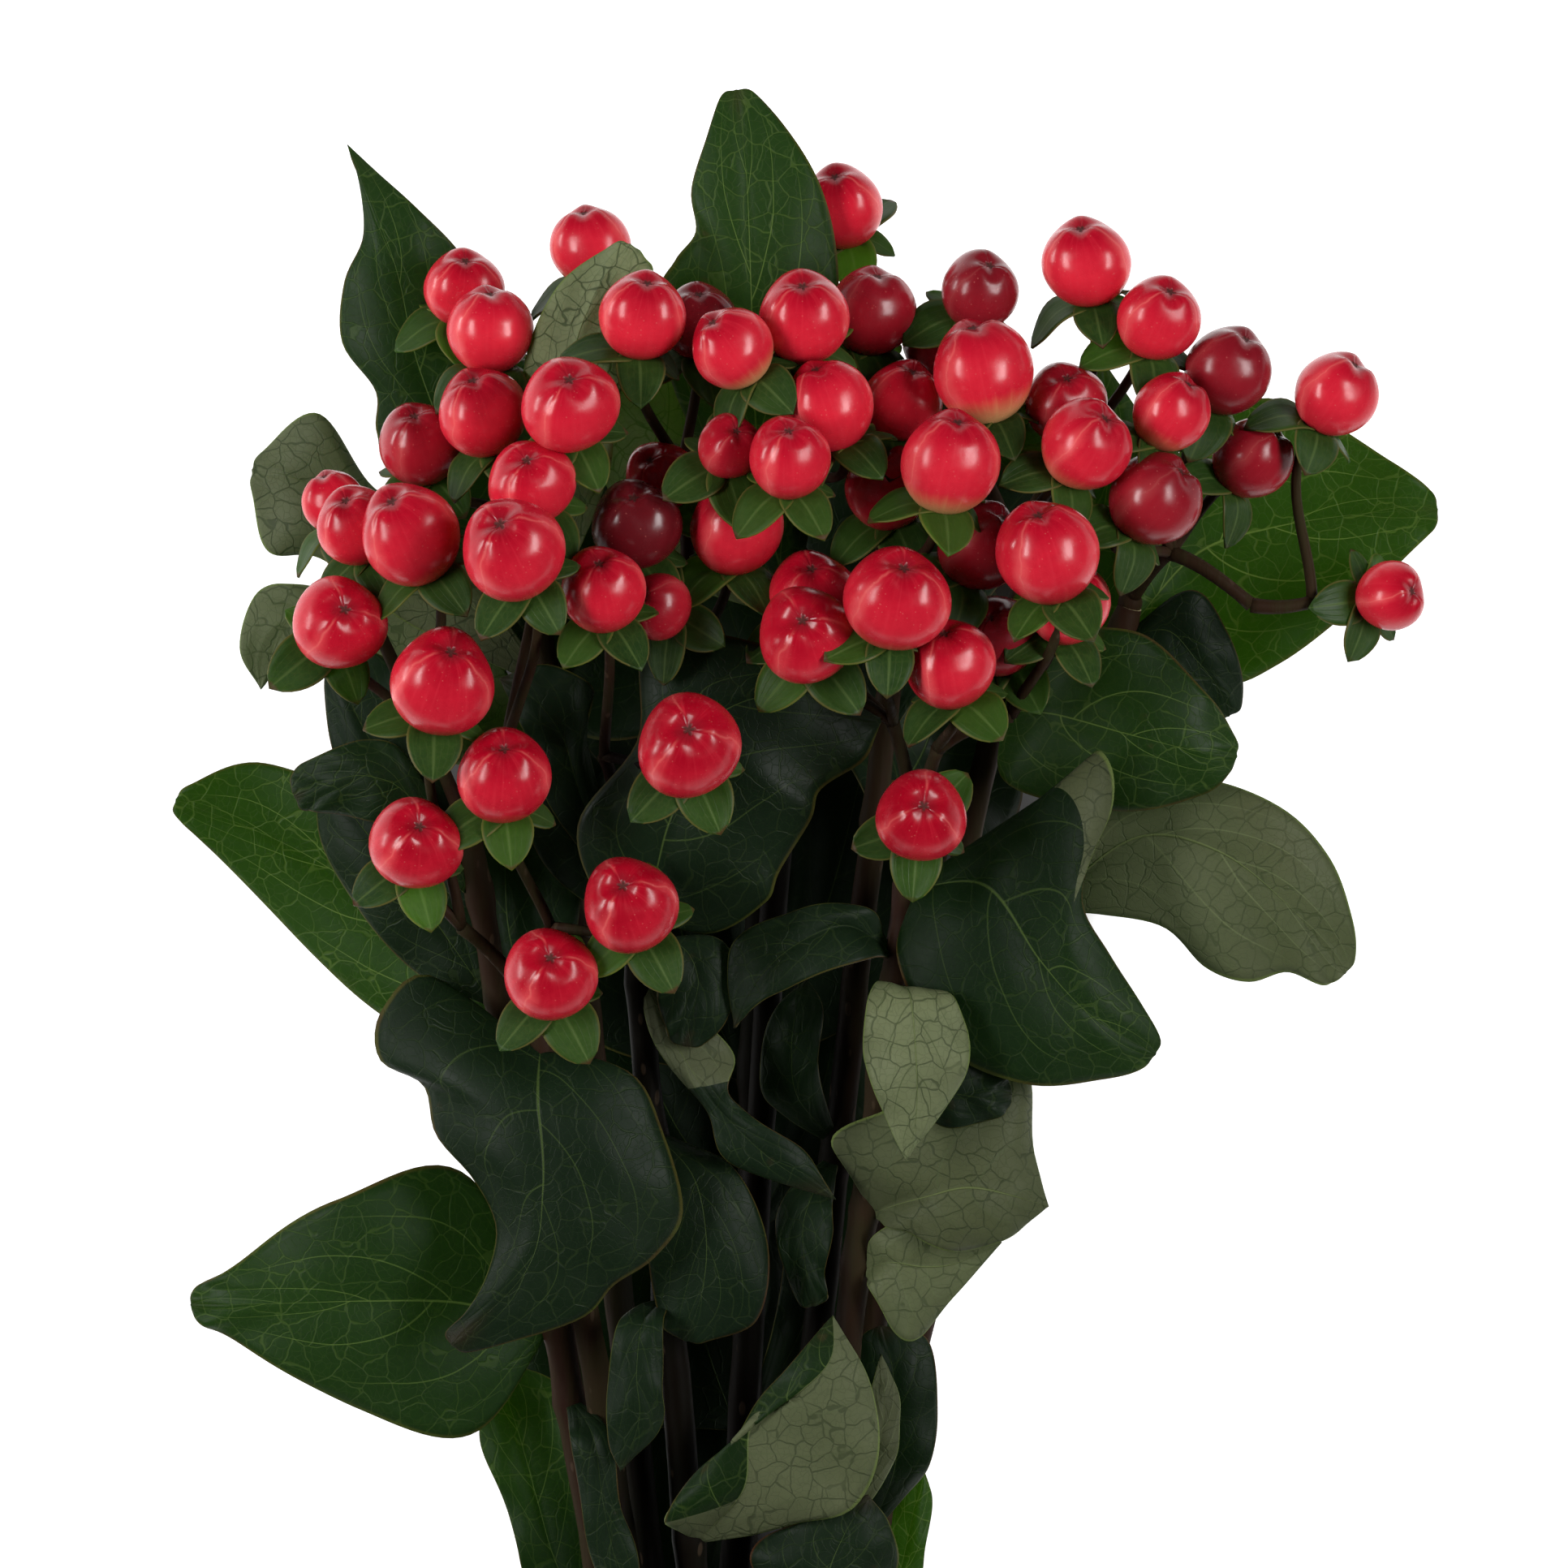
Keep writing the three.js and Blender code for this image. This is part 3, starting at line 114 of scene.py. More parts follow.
# Forks are (x, y, z, the fork it grows from), and fork 0 is the crown. Berries are (x, y, z, radius,
# lean across, lean along, fork, how dark, how creamy). A back berry points down.
SPRAYS = {
    "far_right": Spray(
        forks=[(54, 193, 52, 0), (64, 186.6, 53, 1), (71.5, 187, 52, 2)],
        berries=[(60.9, 215.2, 60.5, 5.4, 0.46, 0.78, 1, 0.75, 0),
            (74.2, 212.4, 58, 5.2, 0.53, 0.78, 3, 0, 0), (53.8, 210, 67, 4.75, 0.5, 0.8, 1, 0, 0.45),
            (51.8, 199.4, 68, 5.7, 0.66, 0.66, 1, 0.7, 0), (64, 204.5, 56, 4.8, 0.68, 0.62, 1, 0.6, 0),
            (81, 187.7, 52, 4.2, 0.7, 0.14, 3, 0, 0)],
        back=[(58, 199, 24, 5.2, 0.5, 0.5, 0, 0.2, 0)],
    ),
    "upper_right": Spray(
        forks=[(37, 198, 50, 0), (43, 206, 49, 1), (30, 205, 46, 0)],
        berries=[(43.6, 228.4, 62, 5.6, -0.15, 0.86, 2, 0, 0), (52.4, 221.5, 64, 5.1, 0.3, 0.7, 2, 0, 0),
            (30.5, 225, 60, 4.8, 0.29, 0.7, 3, 0.8, 0), (30.8, 214.9, 68, 6.3, -0.2, 0.93, 3, 0, 0.9),
            (26, 219, 52, 4.9, 0, 0.8, 3, 0.8, 0), (41, 211.2, 62.5, 5, 0.05, 0.7, 1, 0.3, 0),
            (43.3, 205.9, 72, 5.5, 0.51, 0.66, 1, 0, 0.35)],
        back=[(43, 202, 5.6, 5.9, 0.3, 0.6, 0, 0.2, 0), (30, 208, 13, 5.3, 0, 0.8, 0, 0.2, 0)],
    ),
    "centre_right": Spray(
        forks=[(22, 191, 54, 0), (18.5, 193, 50, 0), (27, 187, 54, 0)],
        berries=[(21.1, 211.5, 62, 4.9, 0.3, 0.8, 2, 0, 0), (26.8, 203.7, 75, 6.1, 0.17, 0.87, 1, 0, 0.75),
            (19.2, 201.2, 60, 5.4, -0.1, 0.8, 2, 0.45, 0),
            (30.7, 193.7, 66.5, 5.4, 0.57, 0.67, 3, 0.7, 0)],
        back=[],
    ),
    "lower_right": Spray(
        forks=[(25.5, 169, 55, 0), (20, 172, 52, 0), (34.5, 173, 58, 1)],
        berries=[(23.4, 160.6, 62, 5.6, 0.06, 0.25, 0, 0, 0), (20.3, 187, 77, 6.45, 0.16, 0.69, 2, 0, 0.2),
            (10, 187.7, 60.5, 5.5, 0, 0.7, 2, 0, 0), (9.4, 182.7, 71, 6, -0.1, 0.35, 2, 0, 0),
            (26.8, 179.2, 70, 5.6, -0.15, 0.76, 1, 0, 0), (38.6, 192.7, 76, 6.35, -0.19, 0.82, 3, 0, 0),
            (41.3, 186.7, 66, 5.2, 0.2, 0.7, 3, 0, 0), (33, 182.7, 61.5, 5, -0.28, 0.5, 3, 0.75, 0)],
        back=[],
    ),
    "top_centre": Spray(
        forks=[(8, 202, 53, 0), (14, 210.5, 49, 0)],
        berries=[(13.7, 235.7, 43, 5.1, -0.18, 0.76, 2, 0, 0), (9, 221.5, 68, 5.7, -0.02, 0.74, 2, 0, 0),
            (17.3, 222.5, 57, 5.4, 0.17, 0.9, 2, 0.6, 0), (12, 210.7, 71.5, 5.5, -0.3, 0.88, 1, 0, 0),
            (7.2, 204.2, 78, 5, 0, 0.73, 1, 0, 0), (0, 205.7, 72, 4, 0.24, 0.53, 1, 0.25, 0),
            (0.3, 217.7, 73, 5, -0.52, 0.7, 2, 0, 0.75)],
        back=[],
    ),
    "centre": Spray(
        forks=[(-15.5, 168, 52, 0), (-6, 179, 48, 0), (-6, 203, 54, 2)],
        berries=[(-10.7, 221.7, 70, 5.3, 0.13, 0.82, 3, 0, 0), (-3.8, 221.2, 60, 4.8, 0, 0.8, 3, 0.8, 0),
            (-11.5, 196.2, 66, 5.6, -0.06, 0.71, 2, 1, 0), (-8.5, 202.2, 57.5, 4.5, -0.34, 0.53, 2, 0, 0),
            (-15.5, 188.2, 73, 5.25, -0.09, 0.67, 1, 0, 0), (-8.8, 186.4, 64, 4.2, -0.5, 0.2, 2, 0.5, 0),
            (0.7, 196, 62, 5.8, 0.1, 0.85, 2, 0, 0), (-5, 169.2, 72, 6.4, 0, 0.35, 1, 0, 0)],
        back=[],
    ),
    "upper_left": Spray(
        forks=[(-27, 198, 50, 0), (-27, 208, 50, 1)],
        berries=[(-17.2, 230.7, 50, 5, -0.18, 0.93, 2, 0, 0.5),
            (-32.8, 225.5, 50, 4.9, 0.07, 0.79, 2, 0, 0), (-29.5, 220.2, 59, 5.4, 0.02, 0.94, 2, 0, 0),
            (-30.3, 210, 64, 5.6, -0.23, 0.82, 1, 0, 0), (-19.5, 210.7, 74.5, 6, 0, 0.61, 1, 0, 0),
            (-38, 206.2, 56.5, 5.1, -0.14, 0.74, 1, 0.45, 0)],
        back=[(-34, 202, 5.6, 5.9, -0.3, 0.6, 0, 0.2, 0), (-20, 206, 12, 5.3, 0, 0.8, 0, 0.2, 0)],
    ),
    "left": Spray(
        forks=[(-38, 172, 54, 0), (-43.5, 184, 54, 1), (-28, 167, 54, 0)],
        berries=[(-48.7, 199.2, 54, 3.9, -0.32, 0.9, 2, 0, 0), (-45.7, 196.2, 62, 5, -0.3, 0.7, 2, 0, 0),
            (-39, 195, 71, 6.2, -0.38, 0.7, 1, 0, 0.15), (-26.3, 193, 81.5, 6.35, -0.28, 0.56, 3, 0, 0.15),
            (-24.2, 201.2, 73, 5.35, -0.11, 0.62, 3, 0, 0), (-47.8, 184.2, 66, 5.75, 0.16, 0.33, 1, 0, 0)],
        back=[],
    ),
    "lower_left": Spray(
        forks=[(-33, 147, 54, 0), (-22, 147, 53, 0)],
        berries=[(-35.1, 176.9, 72, 6.5, 0.2, 0.65, 1, 0, 0),
            (-27.6, 165.5, 68, 5.85, 0.02, 0.66, 2, 0, 0), (-38.5, 157.2, 64, 5.7, 0.12, 0.45, 1, 0, 0),
            (-12.2, 149.7, 66, 5.9, -0.16, 0.46, 2, 0, 0), (-22, 141.2, 62, 5.75, 0.02, 0.43, 0, 0, 0)],
        back=[],
    ),
    "back": Spray(
        forks=[(-4, 186, 12, 0), (10, 188, 12, 0)],
        berries=[],
        back=[(-7, 200, 5.4, 5.7, -0.2, 0.6, 1, 0.2, 0), (7, 207, 6.2, 5.4, 0.1, 0.7, 2, 0.2, 0),
            (20, 199, 6.4, 5.6, 0.4, 0.5, 2, 0.2, 0), (-16, 188, 7.5, 5.2, -0.7, 0.2, 1, 0.2, 0)],
    ),
}

# A leaf is hung on three rails from its foot on the stem to its tip: its midrib, and its margins to
# the left and right of somebody walking from foot to tip. The last point of middle is the tip.
LEAVES = {
    "top_tall": Leaf("top_centre", 187, "dark",
        [(3.5, 205, 47), (2.6, 224, 51), (2, 239, 51), (0.7, 250, 49)],
        [(-6.5, 212, 46.5), (-8.7, 224.5, 49), (-6.8, 229, 49.6), (-4.2, 232.5, 50.2), (-4.8, 237.6, 50.6),
        (-3.1, 243.5, 51)],
        [(11.5, 206, 46), (13.2, 222, 48.7), (12.9, 231, 49.8), (10.7, 239, 50.4), (6.5, 245.8, 50.2)]),
    "top_left": Leaf("upper_left", 184, "dark",
        [(-33, 202, 40.5), (-38.5, 216, 43.5), (-41.5, 229, 44), (-47.3, 243.5, 41)],
        [(-41, 202.5, 41), (-43.6, 208, 41.5), (-43.8, 213.2, 42), (-47.8, 219, 42.8), (-47.6, 226.5, 42.8),
        (-45.3, 232, 42.6), (-45.6, 238, 42)],
        [(-24, 204, 38.5), (-25, 217, 40.5), (-33, 229.6, 42), (-39, 235.8, 42)]),
    "pale_upper_left": Leaf("upper_left", 186, "pale",
        [(-19.5, 201, 52), (-20, 211, 61), (-18, 221, 64), (-12.2, 230.7, 61.5)],
        [(-23.5, 202, 52.5), (-25.5, 214, 59), (-21.5, 225, 61)],
        [(-15.5, 201, 52.5), (-13.5, 212, 61), (-9.5, 225.5, 62)]),
    "pale_behind_centre": Leaf("top_centre", 186, "pale",
        [(-2, 197, 38.5), (-8, 206, 40.5), (-12, 214, 41), (-16, 222, 40)],
        [(-9, 191, 37.5), (-15.5, 202, 40), (-17, 213, 41)],
        [(3.5, 202, 39), (-1, 212, 41), (-7, 220, 41.5)]),
    "pale_far_left": Leaf("upper_left", 178, "pale",
        [(-38, 193, 32), (-47, 199, 34), (-54, 202.5, 35), (-59.2, 203.5, 33)],
        [(-40, 184.5, 31), (-50.4, 192.3, 33), (-57.3, 193.5, 33)],
        [(-36, 196, 32), (-44.5, 201.5, 34), (-51, 210.5, 35)]),
    "small_far_left": Leaf("upper_left", 165, "pale",
        [(-35, 174, 30), (-46, 181.5, 31.3), (-54.5, 185, 32), (-58.2, 176.3, 30.5)],
        [(-36, 168, 29), (-48, 177, 30.3), (-55, 179.8, 31)],
        [(-31, 183, 28), (-44, 186.8, 29), (-53.5, 189.3, 31), (-58.6, 188.3, 31), (-60.8, 181.5, 31)]),
    "left_low": Leaf("left", 132, "bright",
        [(-38, 144, 33), (-48, 153, 31.5), (-58, 158.5, 31.5), (-68.7, 162.7, 33)],
        [(-40, 134, 31), (-51.5, 143.3, 29.5), (-63.8, 156, 31)],
        [(-34, 151, 35), (-45, 162, 34), (-58, 167.2, 33)]),
    "left_broad": Leaf("left", 138, "dark",
        [(-36, 147, 40), (-41, 154, 40.5), (-46, 160, 40.5), (-50.5, 167, 39)],
        [(-38.5, 141, 38.5), (-46, 149.2, 38.5), (-50.8, 158.5, 38)],
        [(-31.5, 150, 39.5), (-34.5, 160, 40.5), (-41, 166.5, 40.5)]),
    "left_folded": Leaf("left", 152, "dark",
        [(-39, 162.5, 50), (-44, 165.5, 51), (-49, 165, 50), (-53.6, 163, 47)],
        [(-40, 158.5, 49), (-45, 160.2, 49.5), (-50.5, 161.2, 48)],
        [(-39.5, 167.5, 49), (-45, 170, 50), (-52.5, 167.2, 49)]),
    "left_shaded": Leaf("left", 150, "dark",
        [(-38, 159, 44.5), (-42, 166, 45.5), (-46, 173, 46), (-49, 182, 45)],
        [(-42, 157.5, 43.5), (-48.3, 167, 44), (-50, 176, 45)],
        [(-35.3, 165, 45), (-38, 172.5, 46), (-42.5, 180, 46)]),
    "centre_large": Leaf("centre", 149, "dark",
        [(-9.3, 153.5, 51), (-7.5, 160, 55), (-4, 168, 57.5), (-1, 173.5, 58.5), (7, 175.6, 58),
        (18.5, 172.3, 54)],
        [(-16.5, 151.5, 50), (-18.6, 160, 53.5), (-11.3, 170, 57), (-10, 183, 57), (5, 181.3, 59)],
        [(-2, 146.2, 49), (4.4, 150.2, 52), (6, 153.8, 53.4), (9.9, 160.3, 55), (11, 163.8, 55),
        (16, 167.2, 54.2)]),
    "centre_left_upper": Leaf("centre", 152, "dark",
        [(-18.5, 163.5, 47.5), (-20.5, 170, 49.5), (-24, 175, 50), (-28.4, 177.6, 49)],
        [(-22, 161.5, 47), (-24, 168, 48.5), (-26.5, 173.5, 49.5)],
        [(-17.6, 169.5, 48.5), (-17, 176.5, 50), (-23, 179.3, 50.5)]),
    "centre_left_lower": Leaf("centre", 148, "dark",
        [(-18, 155.5, 44), (-20.5, 161.5, 45), (-22, 167, 45.5), (-22.5, 172.8, 44)],
        [(-22, 153.5, 43.5), (-25.3, 160.5, 45), (-25, 167.5, 45)],
        [(-15.5, 160, 44.5), (-15, 165, 45), (-18, 169.5, 45)]),
    "centre_low": Leaf("centre", 145, "dark",
        [(-6, 144.5, 46.2), (-4, 141, 46.7), (-4.5, 137, 46.7), (-5.5, 132.3, 45.7)],
        [(-1.5, 145.4, 45.5), (0.8, 141, 46), (-0.5, 135.5, 46)],
        [(-8.5, 141.6, 46.7), (-9, 138.5, 46.9), (-8, 134.5, 46.4)]),
    "centre_twisted": Leaf("centre", 140, "dark",
        [(-6.5, 132, 44), (-1.5, 124.7, 44.5), (5, 118.5, 45), (13, 113.4, 43)],
        [(0, 132, 43.5), (0.2, 125.6, 45.5), (8.6, 119.8, 45)],
        [(-9.2, 132.3, 43), (-3, 124.2, 44.5), (0.2, 117.8, 44)]),
    "right_upper": Leaf("upper_right", 174, "bright",
        [(40, 173.2, 42), (48, 171, 46.5), (56, 169, 46.5), (62.4, 168, 44)],
        [(41, 182.5, 42.5), (50, 183.3, 46.5), (58.5, 176, 45.5)],
        [(34.5, 164.5, 39), (48, 161.3, 44), (58, 163.2, 43.5)]),
    "right_shaded": Leaf("far_right", 183, "dark",
        [(54, 183.5, 42), (57.5, 180, 41.5), (60.2, 176.5, 40), (61.5, 173, 38)],
        [(57, 188.5, 41.5), (61.3, 183.3, 41), (63.2, 177.6, 39)],
        [(51.5, 179, 41.5), (53.5, 175.5, 40.5), (57.5, 173.3, 39)]),
    "far_right_large": Leaf("far_right", 184, "bright",
        [(57.5, 193, 36.5), (67, 196.3, 37), (78, 198, 38.5), (87.3, 198.5, 40)],
        [(54, 203.5, 37), (66, 212.3, 37.5), (81.5, 204.5, 39.5)],
        [(60, 177, 34.5), (68, 179.6, 35.3), (77, 186.5, 37), (84.6, 193.8, 39)]),
    "lower_right_large": Leaf("lower_right", 152, "bright",
        [(31.5, 152, 51.4), (38, 143, 51.8), (44.5, 136, 50.7), (52.3, 131.3, 47)],
        [(41.8, 165.6, 50.4), (45.2, 168.6, 50.6), (47, 166.2, 50.7), (46.8, 161.5, 51), (44.4, 155.8, 51.2),
        (43.4, 149.8, 51.2), (46.6, 143.6, 50.7), (50.4, 137.8, 49)],
        [(20.5, 143.5, 49), (26, 132.5, 50.3), (36, 127.8, 49.3), (46, 128.2, 47.8)]),
    "pale_far_right": Leaf("far_right", 150, "pale",
        [(50, 158, 38), (60, 156.5, 39.5), (69, 149.5, 38.5), (76, 141.2, 35)],
        [(45, 165.5, 38), (58, 165.3, 39), (68, 161.7, 39), (74, 155.4, 38), (76.8, 148, 36.8)],
        [(46, 148.4, 36.3), (53.5, 147, 37), (58.6, 142, 37), (64, 140.2, 36.5), (69, 141.3, 36),
        (73, 139.8, 35.5)]),
    "curled_tip": Leaf("lower_right", 140, "pale",
        [(22, 138.5, 54.8), (22.8, 131, 56.5), (22.8, 124, 54.5), (21.6, 118.4, 51)],
        [(27.3, 138, 54), (29.4, 132.5, 55), (28.2, 127.5, 54), (24.4, 122.3, 52.5)],
        [(17.2, 139.2, 53.8), (16.4, 131.5, 55), (18.8, 124.3, 53.3)]),
    "arched_over": Leaf("lower_right", 144, "dark",
        [(14, 147.2, 48.5), (8, 144.8, 50), (3.5, 140.5, 49.5), (0.5, 134.5, 47)],
        [(16.6, 143, 50.5), (8, 140, 51), (2.8, 137, 49)],
        [(16.5, 149.5, 48), (8, 149, 48.5), (0, 144.5, 48)]),
    "pale_lower_right": Leaf("lower_right", 112, "pale",
        [(24, 113.6, 42.5), (29, 114.8, 44), (34, 114, 43), (39.2, 112.5, 40)],
        [(12.6, 120.8, 42), (19, 124.3, 43), (28, 128.6, 43.5), (36.3, 129.2, 42.3), (37.4, 119, 41)],
        [(21.5, 109.3, 41), (28, 106.9, 41.5), (34.5, 108.9, 40.5)]),
    "lower_left_large": Leaf("lower_left", 132, "dark",
        [(-23.6, 125.5, 52), (-23, 115, 51.5), (-25, 105, 49), (-34.3, 95.4, 44)],
        [(-12.6, 129.5, 49.8), (-8.2, 121.5, 48.7), (-5.9, 112, 48), (-9.3, 106.4, 47.2), (-14.3, 103, 46.8),
        (-18, 99, 46.3), (-26, 96.3, 45.3)],
        [(-37, 141, 44.3), (-43, 136.5, 44.5), (-43.2, 130.8, 45.3), (-37.8, 127.6, 46.3),
        (-36.2, 121.5, 46.6), (-31.6, 116, 46.9), (-28.8, 110, 47), (-30, 104, 46.5), (-32.6, 99.6, 45.3)]),
    "low_left_large": Leaf("left", 97, "bright",
        [(-33, 100.3, 33.5), (-45, 100.7, 36.5), (-57, 100.4, 36.5), (-66.8, 100.2, 34)],
        [(-32, 84, 30.5), (-46, 87.2, 33.5), (-61, 95.5, 34)],
        [(-33, 116.5, 36), (-49, 113.3, 38.5), (-61, 105.3, 36)]),
    "centre_dark": Leaf("centre", 121, "dark",
        [(-4.5, 116, 42), (-3, 109, 42.5), (-3.5, 102, 41), (-5.5, 95.8, 38.5)],
        [(0.5, 117, 41), (4.6, 107.5, 40.5), (3.2, 98.4, 38.5)],
        [(-9, 113.5, 41.5), (-10.2, 107, 41), (-8.8, 98.8, 38.5)]),
    "centre_curled": Leaf("centre", 101, "dark",
        [(-10.8, 98, 42), (-11.6, 92, 43), (-11.3, 86, 41.5), (-13.6, 79.8, 39)],
        [(-8.2, 98.6, 42), (-8.4, 91, 42), (-8.6, 85.3, 40)],
        [(-13.6, 98.6, 42), (-15.1, 90.5, 41.5), (-15.1, 83.6, 40)]),
    "bottom_left": Leaf("left", 58, "bright",
        [(-21.5, 67, 18), (-24, 75, 19), (-26.5, 84, 20), (-29.5, 93, 20)],
        [(-25, 64.5, 18), (-27.6, 74, 19.5), (-31.2, 83.3, 20.5)],
        [(-17, 70, 17.5), (-18, 79, 18.5), (-21, 89.5, 20)]),
    "narrow_folded": Leaf("left", 88, "dark",
        [(-17, 84, 36.5), (-15.9, 77, 35.5), (-14.6, 70, 33.5), (-12, 59, 29.5)],
        [(-14.8, 84.2, 36.5), (-13.5, 75, 35), (-11.3, 68, 32.5)],
        [(-19.8, 83.5, 36), (-18.6, 76.5, 35), (-17, 68, 32.5)]),
    "bottom_pale": Leaf("centre", 71, "pale",
        [(1.6, 77.5, 34.5), (2.6, 86, 38), (8.4, 89.6, 39.2), (12.3, 93.6, 39), (12.6, 98.9, 37)],
        [(-8.2, 73.3, 33), (-5.6, 77.8, 34), (0, 83.2, 36.5), (3.2, 88, 37.5), (7.3, 92.9, 38.3)],
        [(8.5, 73, 32.5), (15.5, 75.4, 33.3), (18.3, 82, 35.5), (17.2, 90.5, 37)]),
    "bottom_shaded": Leaf("far_right", 73, "dark",
        [(20.4, 80, 25), (20.4, 87, 27.5), (20, 92.5, 28), (18.5, 97.5, 28)],
        [(15.5, 80, 24), (14.6, 88, 26.5), (15.8, 95.5, 28)],
        [(24.5, 80, 24.5), (25.6, 88, 26.5), (24.3, 95.8, 27.5)]),
    "bottom_front": Leaf("lower_right", 55, "dark",
        [(11.5, 61.5, 28.5), (12, 66.5, 30.5), (14, 71.5, 31), (17, 76.6, 30.5)],
        [(5, 63.5, 27.5), (2.5, 69.5, 29.5), (8.5, 73.2, 30.5)],
        [(17, 61.5, 27), (20.7, 67.5, 28.5), (19.6, 73, 29.5)]),
    "behind_upper_right": Leaf("centre_right", 172, "dark",
        [(24.5, 187, 37), (28, 200, 35.5), (27, 210, 35), (24, 218, 34)],
        [(9.5, 191, 31), (9, 204, 31.5), (17, 214, 33)],
        [(30.5, 186, 37), (42.5, 203, 34), (34.5, 214, 35)]),
    "behind_centre": Leaf("top_centre", 176, "dark",
        [(-4, 184, 30), (-11, 191, 31), (-17, 198, 31.5), (-22, 206, 30)],
        [(-15, 170, 28), (-25, 176, 28), (-31, 189, 27.5)],
        [(2, 193, 30), (-3, 202, 31), (-11, 207, 31.5)]),
    "behind_right": Leaf("centre_right", 160, "dark",
        [(23.5, 168, 28), (26, 175, 27), (28.5, 183, 26.5), (31.5, 192, 26.5)],
        [(13, 172, 29), (13, 183, 28), (22.5, 190.5, 27.5)],
        [(33.5, 158, 23), (36.2, 167, 22), (35, 181, 23.5)]),
    "back_left": Leaf("back", 128, "dark",
        [(-4, 140, 8), (-8, 153, 6.5), (-10, 167, 6), (-12, 182, 7)],
        [(-18, 133, 9.5), (-25, 147, 7), (-24, 164, 6.5)],
        [(2.5, 143, 7), (3, 156, 7), (-1, 170, 7)]),
    "back_right": Leaf("back", 130, "dark",
        [(9, 141, 8), (13, 153, 6.5), (16, 165, 6), (19, 178, 7)],
        [(6, 145, 7), (7, 157, 7), (11, 170, 7)],
        [(17, 136, 9), (25, 148, 7), (27, 164, 6)]),
    "back_low_left": Leaf("back", 84, "dark",
        [(-3, 94, 5), (-6, 105, 5), (-8, 116, 5), (-9, 128, 5)],
        [(-22, 86, 4), (-26.5, 98, 4), (-20, 118, 4.5)],
        [(5.5, 95, 3), (6.8, 104, 3), (5, 116, 3)]),
    "back_low_right": Leaf("back", 86, "dark",
        [(8, 95, 5), (12, 105, 5), (14, 116, 5), (15, 127, 5)],
        [(6, 100, 6), (7, 110, 6), (10, 120, 6)],
        [(15, 90, 4.5), (23.5, 103, 4.5), (22.5, 117, 5)]),
    "back_middle_left": Leaf("back", 108, "dark",
        [(-3, 116, 7), (-7, 122, 6.8), (-11, 130, 6.8), (-15, 137.5, 6.8)],
        [(-9, 114, 6.8), (-17, 120, 6.8), (-21.5, 130, 6.8)],
        [(-0.8, 119, 7.5), (1.2, 126, 7), (-4, 134, 7)], fused=True),
    "back_middle_right": Leaf("back", 110, "dark",
        [(7, 117, 7.5), (10, 123, 7), (12, 129, 7), (13, 135, 7)],
        [(4.8, 120, 8), (5.5, 126, 7.5), (8, 132, 7)],
        [(12, 114, 7), (17.5, 121, 6.8), (18, 129, 6.8)], fused=True),
    "back_base": Leaf("back", 50, "dark",
        [(-4, 59, 4.5), (-6, 68, 4), (-7, 77, 4), (-7, 90, 4)],
        [(-9, 59, 4), (-14, 68, 3.5), (-14.5, 80, 3.5)],
        [(0, 62, 5), (1, 71, 5), (1.5, 83, 4.5)], fused=True),
    "behind_left": Leaf("lower_left", 128, "dark",
        [(-25, 137, 36.5), (-27.5, 147, 37), (-28, 158, 38), (-29, 169, 39)],
        [(-29, 139, 35.5), (-36, 150, 36.5), (-36, 161, 38)],
        [(-20.5, 140, 36.5), (-18.5, 150, 38), (-18.5, 160, 39)], fused=True),
    "behind_far_right": Leaf("upper_right", 176, "bright",
        [(41, 182, 28.5), (45, 193, 28.5), (47, 205, 28.5), (46, 217.5, 28.5)],
        [(39.5, 184, 28), (39.8, 197, 28.3), (40.5, 210, 28.5)],
        [(45.5, 181, 28.5), (52, 192, 28.5), (52, 207, 28.5)], fused=True),
    "pale_below_right": Leaf("lower_right", 105, "pale",
        [(20, 105.5, 37.5), (24, 105, 38), (28, 105.5, 38), (33.5, 108, 37.5)],
        [(18.5, 109.5, 38), (23.5, 110.5, 38.5), (29, 110, 38.5)],
        [(17.5, 102, 37), (20.3, 96.8, 37), (23.3, 96.2, 37), (27.5, 101.2, 37.2)], fused=True),
    "bottom_edge": Leaf("lower_right", 72, "pale",
        [(16.8, 79.5, 29.5), (18.7, 84.5, 31.5), (18.9, 89.5, 32), (18.6, 94, 31.5)],
        [(15.8, 79.8, 30.5), (16.8, 84.8, 32), (17.3, 89.8, 32.5)],
        [(19.3, 78.6, 29), (20.9, 84, 30.5), (20.6, 89.5, 31)], fused=True),
    "bottom_right": Leaf("far_right", 56, "bright",
        [(20.5, 65, 12.5), (22, 70, 13.5), (23, 75, 14.5), (23.8, 79.8, 14.5)],
        [(17.5, 66.5, 11.5), (19, 71.5, 12.5), (21.3, 77, 13.5)],
        [(22.5, 63.5, 12.5), (24.3, 69.5, 13.5), (24.9, 76, 14.5)], fused=True),
    "small_right": Leaf("lower_right", 129, "dark",
        [(24.5, 127, 46.5), (28, 126.4, 47.5), (31.5, 126, 47.5), (34.6, 126.4, 46)],
        [(25, 130, 46.5), (29.5, 130.8, 47.5), (33.7, 129, 46.5)],
        [(23.5, 124, 46), (27, 122.3, 46.5), (32.5, 123.4, 46)], fused=True),
    "centre_inner": Leaf("centre_right", 118, "dark",
        [(9.8, 113, 34), (8.9, 109, 35), (9.3, 104.5, 34.5), (10.5, 100, 32.5)],
        [(12.6, 113, 33.5), (12.6, 109, 34.5), (11.6, 103.8, 33.5)],
        [(6.6, 113.5, 33.5), (5.6, 109, 34.5), (6.9, 103.8, 33.5)], fused=True),
    "centre_upright": Leaf("centre_right", 121, "dark",
        [(8.3, 126, 35), (7.5, 131, 37), (8, 136, 37.5), (9.5, 140.5, 36.5)],
        [(4.6, 125.3, 34), (3.8, 131, 36), (5.4, 136.6, 37)],
